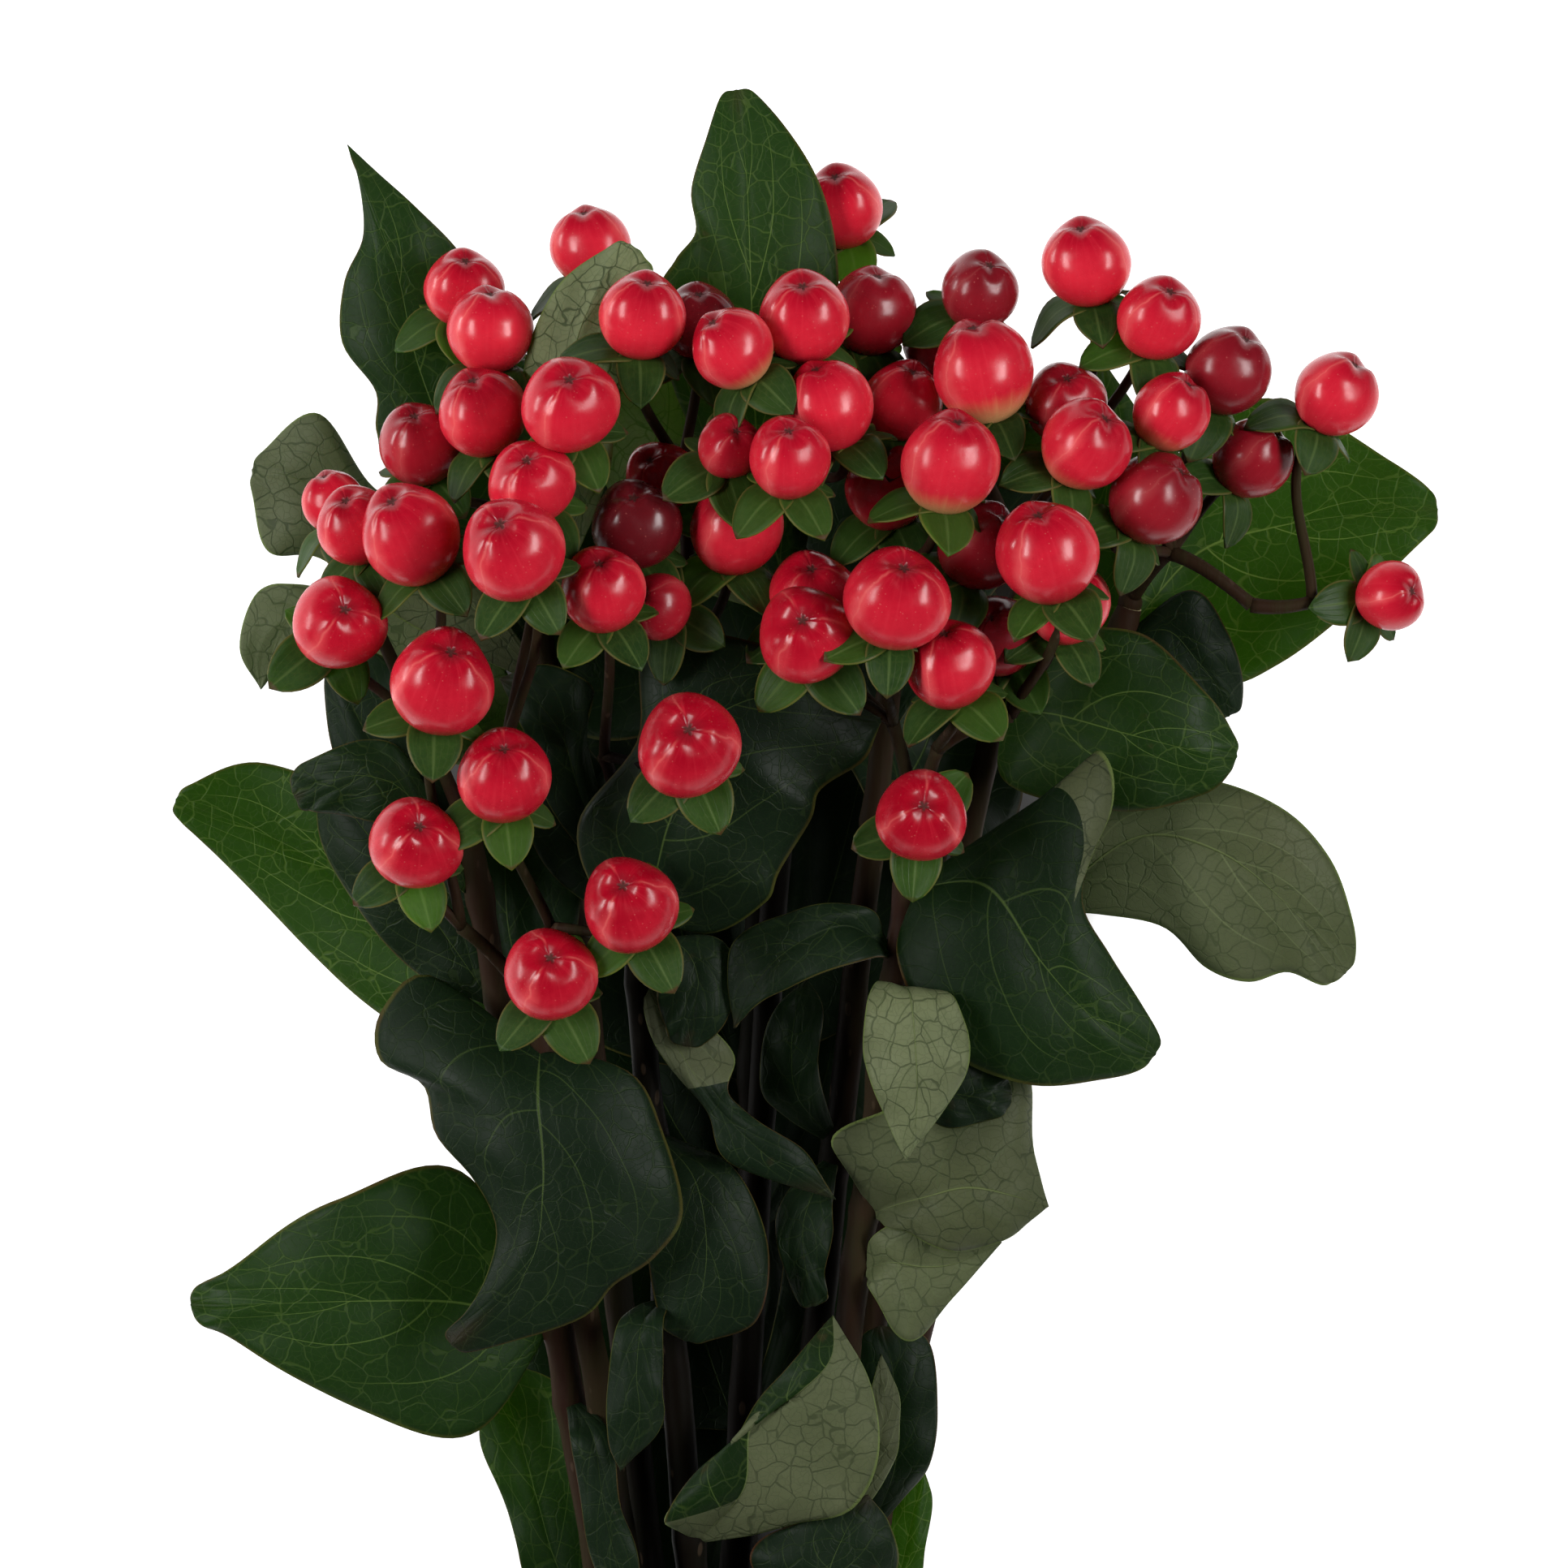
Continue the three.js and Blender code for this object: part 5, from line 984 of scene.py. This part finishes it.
# All of these are in mm.
FOOT_STEP, STEM_STEP = 5, 4  # between a stem's rings, below the tie and above it
KNOT, KNOT_WIDTH = 0.3, 1.6  # the swelling of a stem where a leaf sits
BRANCH_TAPER, BRANCH_KNOB = 0.2, 0.12  # of its radius along a branch, and at its end
PEDICEL_TAPER = 0.1
CUSHION = (0.85, 1.15)  # the last two radii of a pedicel, where it widens under its berry
HUB_FOOT, HUB_FORK = 0.4, HUB_LENGTH - 0.8  # where a spray's knob and its branches start
HUB_SHAPE = (0.98, 1.04, 1.08, 1.02, 0.85, 0.55)  # its radii, in parts of the hub's
# A berry's form, in parts of its radius: its shoulders, the dimple at its tip, its slimmer foot.
LOBES = 3
SHOULDER, SHOULDER_PLACE, SHOULDER_WIDTH = 0.055, 0.35, 0.2
DIMPLE, DIMPLE_WIDTH = 0.14, 0.24
SLIMMER = 0.1
# How far sepals bend back: under a berry that points sideways, and under one that points up.
SIDE_DROOP, TOP_DROOP = 0.7, 0.15
SEPALS = 5
SEPAL_SIZES = ((1.0, 0.36), (0.68, 0.29))  # of large and small ones: part of full length, width
SEPAL_ROOT = Vector((0.75, 0.0))  # where a sepal starts: out from the berry's axis, and along it
SEPAL_STEPS = 12  # along the line that a sepal is bent on
# Columns and rows of a blade's surface.
SEPAL_GRID, LEAF_GRID = (6, 11), (20, 54)
THINNING = 0.45  # of a leaf from its midrib to its margin, as a part of its thickness
# A blade's arch and the groove on its midrib, in parts of its width, and its unevenness in mm.
ARCH, GROOVE, GROOVE_WIDTH, UNEVEN = 0.09, 0.02, 0.08, 0.35


def add_stem(bm, name):
    """One stem, thickened a little where its leaves sit. Its two ends are cut wood."""
    stem = STEMS[name]
    bottom, top = 0.2 - stem.foot, stem.crown[1] + 0.5
    joints = [leaf.at for leaf in LEAVES.values() if leaf.stem == name]
    places = {bottom, *range(FOOT_STEP - stem.foot, 0, FOOT_STEP)}
    places |= {top, *range(0, math.ceil(top - 2), STEM_STEP)}
    places |= {at + away for at in joints for away in (-3, -1.5, 0, 1.5) if at + away < top}
    points, radii = [], []
    for y in sorted(places):
        swell = sum(KNOT * math.exp(-((y - at) / KNOT_WIDTH) ** 2) for at in joints)
        drift = 0.09 * math.sin(0.23 * y + 3 * stem.column) + 0.05 * math.sin(0.61 * y + stem.row)
        points.append(stem_point(stem, y) + Vector((drift, 0, 0.5 * drift)))
        radii.append(stem_radius(stem, y) * (1 + 0.015 * math.sin(1.3 * y)) + min(swell, 0.35))
    add_tube(bm, points, radii, STEM_SIDES, end_material=1)


def spray_places(name):
    """A spray's crown, the way it leaves its stem, and the places of its forks."""
    stem, spray = STEMS[name], SPRAYS[name]
    crown = stem_point(stem, stem.crown[1])
    ahead = stem_direction(stem, stem.crown[1] - 2)
    return crown, ahead, [crown + ahead * HUB_FORK, *(Vector(fork[:3]) for fork in spray.forks)]


def spray_berries(name):
    """The berries of a spray, those at its back last."""
    spray = SPRAYS[name]
    for down, berries in ((False, spray.berries), (True, spray.back)):
        for number, berry in enumerate(berries):
            yield Berry(*berry, number, down)


def berry_frame(berry):
    """The directions of a berry: side, up and aim."""
    lean = Vector((berry.lean_x, berry.lean_y, 0))
    rise = math.sqrt(max(0.0, 1 - lean.length_squared))
    viewer = -1 if berry.down else 1
    aim = Vector((lean.x, lean.y, viewer * rise)).normalized()
    to_viewer = square_to(aim, Vector((0, -0.5, viewer)))
    side = Matrix.Rotation(0.5 * math.sin(12.9 * berry.number), 3, aim) @ to_viewer
    return side, aim.cross(side), aim


def add_stalks(bm, name):
    """The knob, the branches and the pedicels of a spray."""
    crown, ahead, places = spray_places(name)
    forks = SPRAYS[name].forks
    last = len(HUB_SHAPE) - 1
    knob = [crown + ahead * (HUB_FOOT + (HUB_LENGTH - HUB_FOOT) * k / last) for k in range(last + 1)]
    add_tube(bm, knob, [HUB_RADIUS * r for r in HUB_SHAPE], STEM_SIDES)
    for place, fork in zip(places[1:], forks):
        start = places[fork[3]]
        bend = start.lerp(place, 0.4) + ahead * 2
        if fork[3]:
            came = (start - places[forks[fork[3] - 1][3]]).normalized()
            bend = start.lerp(place, 0.3) + came * 0.2 * (place - start).length
        radii = [BRANCH_RADIUS - BRANCH_TAPER * k / BRANCH_STEPS for k in range(BRANCH_STEPS + 1)]
        radii[-1] += BRANCH_KNOB
        add_tube(bm, bezier([start, bend, place], BRANCH_STEPS), radii, BRANCH_SIDES)
    for berry in spray_berries(name):
        aim = berry_frame(berry)[2]
        start = places[berry.fork]
        base = Vector(berry[:3]) - aim * berry.radius
        reach = (base - start).length
        control = [start, start.lerp(base, 0.35), base - aim * 0.4 * reach, base + aim * 0.25]
        slender = range(PEDICEL_STEPS - 1)
        radii = [PEDICEL_RADIUS + PEDICEL_TAPER * (1 - k / PEDICEL_STEPS) for k in slender]
        add_tube(bm, bezier(control, PEDICEL_STEPS), [*radii, *CUSHION], PEDICEL_SIDES)


def add_berry(bm, berry):
    """A berry with three soft shoulders and a dimpled tip; its map is centred on the tip."""
    side, up, aim = berry_frame(berry)
    centre = Vector(berry[:3])
    rng = Random(f"{berry.x} {berry.y}")
    stretch = 1.0 + 0.05 * rng.uniform(-1, 1) + 0.05 * (1 - abs(aim.z))
    depth, oval, start = rng.uniform(0.05, 0.09), rng.uniform(0.0, 0.035), rng.uniform(0, 6.3)
    made = bmesh.ops.create_uvsphere(bm, u_segments=40, v_segments=26, radius=1)["verts"]
    polar = {}
    for vert in made:
        x, y, c = vert.co
        s = math.hypot(x, y)
        turn = math.atan2(y, x)
        away = math.acos(max(-1.0, min(1.0, c))) / math.pi
        lobe = math.cos(LOBES * turn + math.pi)
        fade = 0.3 + 0.7 * smooth(1.5 - 2.6 * away)
        lobing = depth * lobe * fade * smooth(s * 2) + oval * math.cos(2 * turn + start)
        girth = s ** 0.93 * (1 + lobing) * (1 - SLIMMER * max(0.0, -c) ** 1.4)
        rise = c * stretch
        if c > 0:
            rise -= DIMPLE * math.exp(-((s / DIMPLE_WIDTH) ** 2))
            rise += SHOULDER * lobe * math.exp(-(((s - SHOULDER_PLACE) / SHOULDER_WIDTH) ** 2))
        vert.co = centre + (ray(side, up, turn) * girth + aim * rise) * berry.radius
        polar[vert] = ((1 + away * math.cos(turn)) / 2, (1 + away * math.sin(turn)) / 2)
    layer = bm.loops.layers.uv["UVMap"]
    for face in {f for v in made for f in v.link_faces}:
        for loop in face.loops:
            loop[layer].uv = polar[loop.vert]
    # painted shade: berries lower in the bunch are deeper red, and some deeper at random
    deep = 0.75 * smooth((195 - berry.y) / 40) + 0.25 * rng.random()
    paint(bm, made, (berry.dark, deep, berry.cream))


def add_sepals(bm, berry):
    """Three large sepals and two small ones, spreading or bent back from the berry's foot."""
    full_length = bpy.context.scene.hypericum_sizes.sepal_length / MM
    side, up, aim = berry_frame(berry)
    base = Vector(berry[:3]) - aim * (berry.radius - 0.1)
    droop = SIDE_DROOP + (TOP_DROOP - SIDE_DROOP) * abs(aim.z)
    rng = Random(f"sepals {berry.x} {berry.y}")
    for k in range(SEPALS):
        part, girth = SEPAL_SIZES[k % 2]
        turn = 2 * math.pi * k / SEPALS + rng.uniform(-0.14, 0.14)
        outward = ray(side, up, turn)
        beside = aim.cross(outward)
        length = full_length * part * rng.uniform(0.88, 1.06)
        length *= 0.74 + 0.18 * berry.radius / 5.5
        width = length * girth * rng.uniform(0.92, 1.08)
        bend = droop * rng.uniform(0.6, 1.5)
        cup = rng.uniform(0.5, 1.1)
        roll = rng.uniform(-0.25, 0.25)
        path = [SEPAL_ROOT]
        for i in range(1, SEPAL_STEPS + 1):
            slope = 0.25 - (bend * 1.35 + 0.25) * smooth(i / 9)
            path.append(path[-1] + Vector((math.cos(slope), math.sin(slope))) * length / SEPAL_STEPS)

        def shape(across, along):
            place = along * SEPAL_STEPS
            i = min(int(place), SEPAL_STEPS - 1)
            r, h = path[i].lerp(path[i + 1], place - i)
            half = width * math.sin(math.pi * (0.14 + 0.86 * along)) ** 0.6
            lift = cup * 0.16 * width * across * across + roll * across * half * along
            lift += 0.12 * math.sin(7 * along + 9 * roll) * abs(across) ** 3
            return base + outward * r + aim * (h + lift) - beside * (half * across)

        verts = add_sheet(bm, *SEPAL_GRID, shape, lambda across, _: 0.34 - 0.14 * abs(across))
        paint(bm, verts, (rng.random() ** 2, rng.random(), rng.random()))


def leaf_shape(name):
    """The surface of a leaf: its three rails, arched between midrib and margin, and a little wavy."""
    leaf = LEAVES[name]
    stem = STEMS[leaf.stem]
    middle, left, right = ([Vector(point) for point in rail] for rail in leaf[3:6])
    axis = stem_point(stem, leaf.at)
    outward = square_to(stem_direction(stem, leaf.at), middle[0] - axis)
    foot = axis + outward * stem_radius(stem, leaf.at) * 0.8
    leftward = square_to((middle[0] - foot).normalized(), left[0] - right[0]) * FOOT_HALF_WIDTH
    tip = middle[-1]
    middle.insert(0, foot)
    left = [foot + leftward, *left, tip]
    right = [foot - leftward, *right, tip]
    if name in BLUNT:
        ahead = (tip - middle[-2]).normalized()
        for rail in (left, right):
            back = rail[-2] - tip
            beside = (back - ahead * back.dot(ahead)).normalized()
            rail.insert(-1, tip + back * 0.12 + beside * BLUNT_REACH)
    rng = Random(name)
    waves = [(rng.uniform(2.5, 4.5), rng.uniform(0, 6.3), rng.uniform(0.35, 0.8)) for _ in range(2)]
    seed = rng.uniform(0, 50)

    def flat(across, along):
        edge = through(left if across < 0 else right, along)
        return through(middle, along).lerp(edge, abs(across))

    def shape(across, along):
        a, b = max(0.0, along - 0.03), min(0.985, along + 0.03)
        width = flat(0.7, min(along, 0.97)) - flat(-0.7, min(along, 0.97))
        up = width.cross(flat(across * 0.5, b) - flat(across * 0.5, a)).normalized()
        half = width.length * 0.7
        out = abs(across)
        rate, start, size = waves[across >= 0]
        ends = math.sin(math.pi * min(1.0, along * 1.02)) ** 0.6 if along < 0.98 else 0.0
        lift = ARCH * half * math.sin(math.pi * out)
        lift -= GROOVE * half * math.exp(-((out / GROOVE_WIDTH) ** 2))
        lift += size * out * out * math.sin(2 * math.pi * rate * along + start)
        lift += UNEVEN * noise.noise(Vector((across * 1.6, along * 5, seed)))
        return flat(across, along) + up * (lift * ends)

    return shape


# Blades with a rounded tip, and how wide of the tip their margins are carried, in mm.
BLUNT = {
    "right_upper", "lower_right_large", "centre_large", "lower_left_large", "low_left_large",
    "pale_far_right", "top_tall", "centre_dark", "far_right_large", "right_shaded", "centre_low",
    "left_low", "left_folded", "pale_far_left", "pale_upper_left", "small_right", "centre_inner",
}
BLUNT_REACH = 1.5
# How bright, how deep and how worn a blade is. Bright is partly the leaf's own green and partly painted
# light; deep darkens an upper face as painted shade, with some leaves darker at random, and on an underside
# sets how dark its veins are.
LEAF_TONES = {
    "left_low": (0.85, 0, 0.1), "right_upper": (0.55, 0.3, 0.3), "far_right_large": (1, 0.05, 0.2),
    "lower_right_large": (0.1, 0.95, 0.1), "low_left_large": (0.3, 0.4, 0.1),
    "bottom_left": (0.2, 0.8, 0.1), "bottom_right": (1, 0, 0.1), "top_tall": (0.5, 0, 0.4),
    "top_left": (0.25, 0.2, 0.3), "centre_large": (0.03, 0, 0.6),
    "lower_left_large": (0.02, 0.2, 0.2), "curled_tip": (0.9, 0.65, 0.9),
    "pale_far_right": (0.15, 0.2, 0.1), "pale_lower_right": (0.1, 0.6, 0.1),
    "pale_below_right": (0.3, 0.4, 0.1), "small_far_left": (0.4, 0.5, 0.1),
    "bottom_pale": (0.35, 0.5, 0.3), "pale_upper_left": (1, 0.9, 0.1),
    "pale_behind_centre": (0.8, 0.9, 0.1), "pale_far_left": (0.25, 0.7, 0.1),
    "left_broad": (0.1, 0.3, 0.1), "left_folded": (0.2, 0, 0.1),
}
# Painted light and shade along a blade: how bright and how deep its tip is, where it differs from its foot.
TIP_LIGHT_AND_SHADE = {
    "right_upper": (0.6, 0), "lower_right_large": (0.36, 0.15), "low_left_large": (0.5, 0),
    "bottom_left": (0.7, 0.2), "far_right_large": (0.8, 0), "top_left": (0.35, 0),
}
# Where a blade is folded over and shows its other face: from and to across, from and to along.
TURNED = {
    "bottom_pale": (-1, 0, 0.17, 1), "centre_twisted": (-1, 1, 0, 0.4),
    "lower_right_large": (-1, -0.72, 0.19, 0.53),
}
# For each finish of a leaf, its slot, and how bright it is where it has no tone of its own; that brightness
# is partly painted light.
FINISHES = {"dark": ("leaf_dark", 0.0), "bright": ("leaf_bright", 0.5), "pale": ("leaf_underside", 0.1)}


def build_leaf(name, materials):
    leaf = LEAVES[name]
    slot, brightness = FINISHES[leaf.finish]
    bm = new_bmesh()
    midrib = bpy.context.scene.hypericum_sizes.leaf_thickness / MM
    verts = add_sheet(
        bm, *LEAF_GRID, leaf_shape(name), lambda across, _: midrib * (1 - THINNING * across * across)
    )
    foot = LEAF_TONES.get(name, (brightness, 0.4 * Random(name).random(), 0.15))
    tip = TIP_LIGHT_AND_SHADE.get(name, foot[:2])
    uvs = bm.loops.layers.uv.active
    # bright and deep blend from foot to tip: painted light and shade along the blade
    for vert in verts:
        share = smooth(1.5 * vert.link_loops[0][uvs].uv.y - 0.3)
        bright, deep = (a + (b - a) * share for a, b in zip(foot, tip))
        if leaf.finish == "dark":  # painted shade: darker where it lies low inside the bunch
            x, y, z = vert.co
            deep += 0.8 * smooth((34 - z) / 12) * smooth((26 - abs(x)) / 8) * smooth((172 - y) / 12)
        paint(bm, [vert], (bright, min(deep, 1.0), foot[2]))
    if name in TURNED:
        left, right, low, high = TURNED[name]
        for face in bm.faces:
            spot = sum((loop[uvs].uv for loop in face.loops), Vector((0, 0))) / len(face.loops)
            if left < 2 * spot.x - 1 < right and low < spot.y < high:
                face.material_index = 1 - face.material_index
    node = "stem_" + leaf.stem if leaf.fused else "leaf_" + name
    finish_piece("Leaf_" + name, bm, materials, slot, node)


TIE_STEPS = 9  # points round each corner of the tie
TIE_CORNERS = ((-2, 0), (2, 0), (3, 1), (2, 2), (-2, 2), (-3, 1))  # the stems there: column and row
# The tie's section: how far outside its inner face, and how far along the bunch, in mm.
TIE_SECTION = (
    (0, -3.1), (0, 3.1), (0.35, 3.5), (0.85, 3.5), (TIE_WALL, 3.15), (TIE_WALL, -3.15),
    (0.85, -3.5), (0.35, -3.5),
)


def tie_point(away, k):
    """A point round the bundle of stems, a given distance outside their bark."""
    corner, step = divmod(k, TIE_STEPS)
    angle = math.radians(60 * corner - 150 + 60 * step / (TIE_STEPS - 1))
    column, row = TIE_CORNERS[corner]
    place = Vector((column * PITCH / 2, 0, FIRST_ROW + row * ROW))
    return place + ray(Vector((1, 0, 0)), Vector((0, 0, 1)), angle) * (STEM_RADIUS + away)


def build_tie(material):
    """The band, from one ring round the stems that is extruded round the band's own section."""
    bm = new_bmesh()
    count = len(TIE_CORNERS) * TIE_STEPS
    ring = bmesh.ops.create_circle(bm, cap_ends=False, segments=count, radius=1)["verts"]
    first = ring_edges(bm, ring)
    for number, (away, y) in enumerate(TIE_SECTION):
        if number:
            ring = next_ring(bm, ring)
        for k, vert in enumerate(ring):
            vert.co = tie_point(GAP + away, k) + Vector((0, y, 0))
    bmesh.ops.bridge_loops(bm, edges=first + ring_edges(bm, ring))
    bmesh.ops.recalc_face_normals(bm, faces=bm.faces)
    finish_piece("Tie", bm, [material], "tie", "tie")


def build_sprays(part, materials, slot, fill, each_berry=True):
    """One piece for every spray. fill adds to its bmesh, for each berry or once for the spray."""
    for name in SPRAYS:
        bm = new_bmesh()
        for item in spray_berries(name) if each_berry else [name]:
            fill(bm, item)
        finish_piece(f"{part}_{name}", bm, materials, slot, "spray_" + name)


# ---- settings ----------------------------------------------------------------------------------------


def colour(name, description, *default):
    return FloatVectorProperty(
        name=name, description=description, subtype="COLOR", size=3, min=0, max=1, default=default
    )


class HypericumSizes(bpy.types.PropertyGroup):
    """Sizes that the bunch's own frame leaves free."""

    leaf_thickness: FloatProperty(
        name="Leaf thickness", description="Thickness of a leaf at its midrib", unit="LENGTH",
        default=0.0005, min=0.0002, max=0.001,
    )
    sepal_length: FloatProperty(
        name="Sepal length", description="Length of the large sepals under a berry", unit="LENGTH",
        default=0.0098, min=0.005, max=0.014,
    )


class HypericumColours(bpy.types.PropertyGroup):
    """Colours of the berries, leaves, stems and band."""

    berry: colour("Berry", "Bright red of a ripe berry", 0.52, 0.006, 0.024)
    # berry_deep serves the skin's darker patches and also painted shade on low berries and near the tip.
    berry_deep: colour("Berry, deep", "Red of a berry's darker patches", 0.33, 0.0015, 0.012)
    berry_dark: colour("Berry, overripe", "Maroon of the darkest berries", 0.085, 0.006, 0.009)
    # The leaf colours are mixed by a leaf's brightness, which is partly its own green and partly painted
    # light.
    leaf_dark: colour("Leaf, dark", "Upper face of an old leaf", 0.012, 0.024, 0.011)
    leaf_bright: colour("Leaf, bright", "Upper face of a young leaf", 0.02, 0.05, 0.008)
    leaf_underside: colour("Leaf underside", "Matt underside of a leaf", 0.09, 0.102, 0.046)
    glow: colour("Leaf, glow", "Light shining through a young leaf", 0.36, 0.66, 0.06)
    glow_dark: colour("Leaf, dim glow", "Light shining through an old leaf", 0.09, 0.17, 0.05)
    vein: colour("Vein", "Pale ribs of a leaf", 0.17, 0.26, 0.06)
    sepal: colour("Sepal", "Leafy sepals under the berries", 0.019, 0.05, 0.012)
    sepal_light: colour("Sepal, light", "Lighter patches of the sepals", 0.045, 0.098, 0.014)
    bark: colour("Bark", "Red-brown bark of stems and stalks", 0.034, 0.013, 0.009)
    bark_green: colour("Bark, green", "Olive bark of young stems", 0.03, 0.026, 0.01)
    band: colour("Band", "The rubber band", 0.6, 0.45, 0.26)


# ---- operators ---------------------------------------------------------------------------------------

CUT_WOOD = (0.5, 0.44, 0.26)
PAPER_WHITE = (0.9, 0.9, 0.9)
SKY_STRENGTH = 0.05
# The stage, in metres.
FLOOR_REACH = 3
VIEW_X, VIEW_Y = 0.0066, 0.1646  # what the camera looks down on
VIEW_WIDTH, VIEW_LEVEL = 0.1932, 0.045  # how wide it sees, at what height
CLIP = (0.1, 20.0)  # the nearest and the furthest that it sees
LENS, SENSOR = 500.0, 36.0  # in mm
LIT_POINT = Vector((0.005, 0.17, 0.05))
# Each light: where it stands, its width and height, and its power in watts.
LIGHTS = {
    "Left softbox": ((-0.95, 0.26, 1.05), 0.8, 0.35, 15),
    "Right softbox": ((0.96, 0.26, 1.05), 0.8, 0.35, 15),
    "Left edge light": ((-1.1, 0.4, 0.1), 0.5, 0.12, 4),
}


class HYPERICUM_OT_stems(bpy.types.Operator):
    """Build the ten stems of the bunch"""

    bl_idname = "hypericum.stems"
    bl_label = "Stems"

    def execute(self, context):
        colours = context.scene.hypericum_colours
        brown = make_material("Stem bark", colours.bark, bark, colours, 260.0)
        wood = make_material("Cut wood", CUT_WOOD, cut_wood)
        for name in STEMS:
            bm = new_bmesh()
            add_stem(bm, name)
            finish_piece("Stem_" + name, bm, [brown, wood], "bark", "stem_" + name)
        return {"FINISHED"}


class HYPERICUM_OT_stalks(bpy.types.Operator):
    """Build the branches and pedicels that carry the berries"""

    bl_idname = "hypericum.stalks"
    bl_label = "Stalks"

    def execute(self, context):
        colours = context.scene.hypericum_colours
        brown = make_material("Stalk bark", colours.bark, bark, colours, 420.0)
        build_sprays("Stalks", [brown], "bark", add_stalks, each_berry=False)
        return {"FINISHED"}


class HYPERICUM_OT_berries(bpy.types.Operator):
    """Build the berries of every spray"""

    bl_idname = "hypericum.berries"
    bl_label = "Berries"

    def execute(self, context):
        colours = context.scene.hypericum_colours
        skin = make_material("Berry skin", colours.berry, berry_skin, colours)
        build_sprays("Berries", [skin], "berry", add_berry)
        return {"FINISHED"}


class HYPERICUM_OT_sepals(bpy.types.Operator):
    """Build the five sepals under every berry"""

    bl_idname = "hypericum.sepals"
    bl_label = "Sepals"

    def execute(self, context):
        colours = context.scene.hypericum_colours
        tones = colours.sepal, colours.sepal_light, colours.leaf_underside
        upper = make_material("Sepal face", tones[0], sepal, *tones[:2])
        under = make_material("Sepal underside", tones[1], sepal, *tones[1:])
        build_sprays("Sepals", [upper, under], "leaf_bright", add_sepals)
        return {"FINISHED"}


class HYPERICUM_OT_leaves(bpy.types.Operator):
    """Build every leaf of the bunch"""

    bl_idname = "hypericum.leaves"
    bl_label = "Leaves"

    def execute(self, context):
        colours = context.scene.hypericum_colours
        face = make_material("Leaf face", colours.leaf_dark, leaf_face, colours)
        under = make_material("Leaf underside", colours.leaf_underside, leaf_underside, colours)
        for name, leaf in LEAVES.items():
            build_leaf(name, [under, face] if leaf.finish == "pale" else [face, under])
        return {"FINISHED"}


class HYPERICUM_OT_tie(bpy.types.Operator):
    """Build the rubber band round the stems"""

    bl_idname = "hypericum.tie"
    bl_label = "Tie"

    def execute(self, context):
        colours = context.scene.hypericum_colours
        build_tie(make_material("Band rubber", colours.band, rubber, colours))
        return {"FINISHED"}


class HYPERICUM_OT_stage(bpy.types.Operator):
    """Set up the pale floor, the soft lights and the camera above the bunch"""

    bl_idname = "hypericum.stage"
    bl_label = "Stage"

    def execute(self, context):
        scene = context.scene
        bm = bmesh.new()
        bmesh.ops.create_grid(bm, x_segments=2, y_segments=2, size=FLOOR_REACH)
        add_object("Floor", bm, [make_material("White floor", PAPER_WHITE, paper)])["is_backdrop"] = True

        scene.world = bpy.data.worlds.new("Studio")
        scene.world.use_nodes = True
        background = scene.world.node_tree.nodes["Background"]
        background.inputs["Color"].default_value = (1, 1, 1, 1)
        background.inputs["Strength"].default_value = SKY_STRENGTH
        scene.view_settings.view_transform = "Standard"

        for name, (place, width, height, power) in LIGHTS.items():
            data = bpy.data.lights.new(name, "AREA")
            data.shape = "RECTANGLE"
            data.size, data.size_y, data.energy = width, height, power
            light = bpy.data.objects.new(name, data)
            light.location = place
            light.rotation_euler = (LIT_POINT - Vector(place)).to_track_quat("-Z", "Y").to_euler()
            scene.collection.objects.link(light)

        data = bpy.data.cameras.new("Camera")
        data.lens, data.sensor_width = LENS, SENSOR
        data.clip_start, data.clip_end = CLIP
        scene.camera = bpy.data.objects.new("Camera", data)
        scene.camera.location = (VIEW_X, VIEW_Y, VIEW_LEVEL + VIEW_WIDTH * LENS / SENSOR)
        scene.collection.objects.link(scene.camera)
        return {"FINISHED"}


OPERATORS = (
    HYPERICUM_OT_stems, HYPERICUM_OT_stalks, HYPERICUM_OT_berries, HYPERICUM_OT_sepals,
    HYPERICUM_OT_leaves, HYPERICUM_OT_tie, HYPERICUM_OT_stage,
)


class HYPERICUM_PT_panel(bpy.types.Panel):
    """Lists the bunch's settings and pieces"""

    bl_idname = "HYPERICUM_PT_panel"
    bl_label = "Hypericum Bunch"
    bl_space_type = "VIEW_3D"
    bl_region_type = "UI"
    bl_category = "Hypericum"

    def draw(self, context):
        layout = self.layout
        for group in (context.scene.hypericum_sizes, context.scene.hypericum_colours):
            box = layout.box()
            for key in group.bl_rna.properties.keys():
                if key not in ("rna_type", "name"):
                    box.prop(group, key)
        for operator in OPERATORS:
            layout.operator(operator.bl_idname)


CLASSES = (HypericumSizes, HypericumColours, *OPERATORS, HYPERICUM_PT_panel)


def register():
    for cls in CLASSES:
        bpy.utils.register_class(cls)
    bpy.types.Scene.hypericum_sizes = PointerProperty(type=HypericumSizes)
    bpy.types.Scene.hypericum_colours = PointerProperty(type=HypericumColours)


def unregister():
    del bpy.types.Scene.hypericum_colours
    del bpy.types.Scene.hypericum_sizes
    for cls in reversed(CLASSES):
        bpy.utils.unregister_class(cls)


def main():
    register()
    bpy.ops.hypericum.stems()
    bpy.ops.hypericum.stalks()
    bpy.ops.hypericum.berries()
    bpy.ops.hypericum.sepals()
    bpy.ops.hypericum.leaves()
    bpy.ops.hypericum.tie()
    bpy.ops.hypericum.stage()
    boxes = {"cad": CAD_BOX, "visual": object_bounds()}
    {key: [list(corner) for corner in box] for key, box in boxes.items()}


if __name__ == "__main__":
    main()
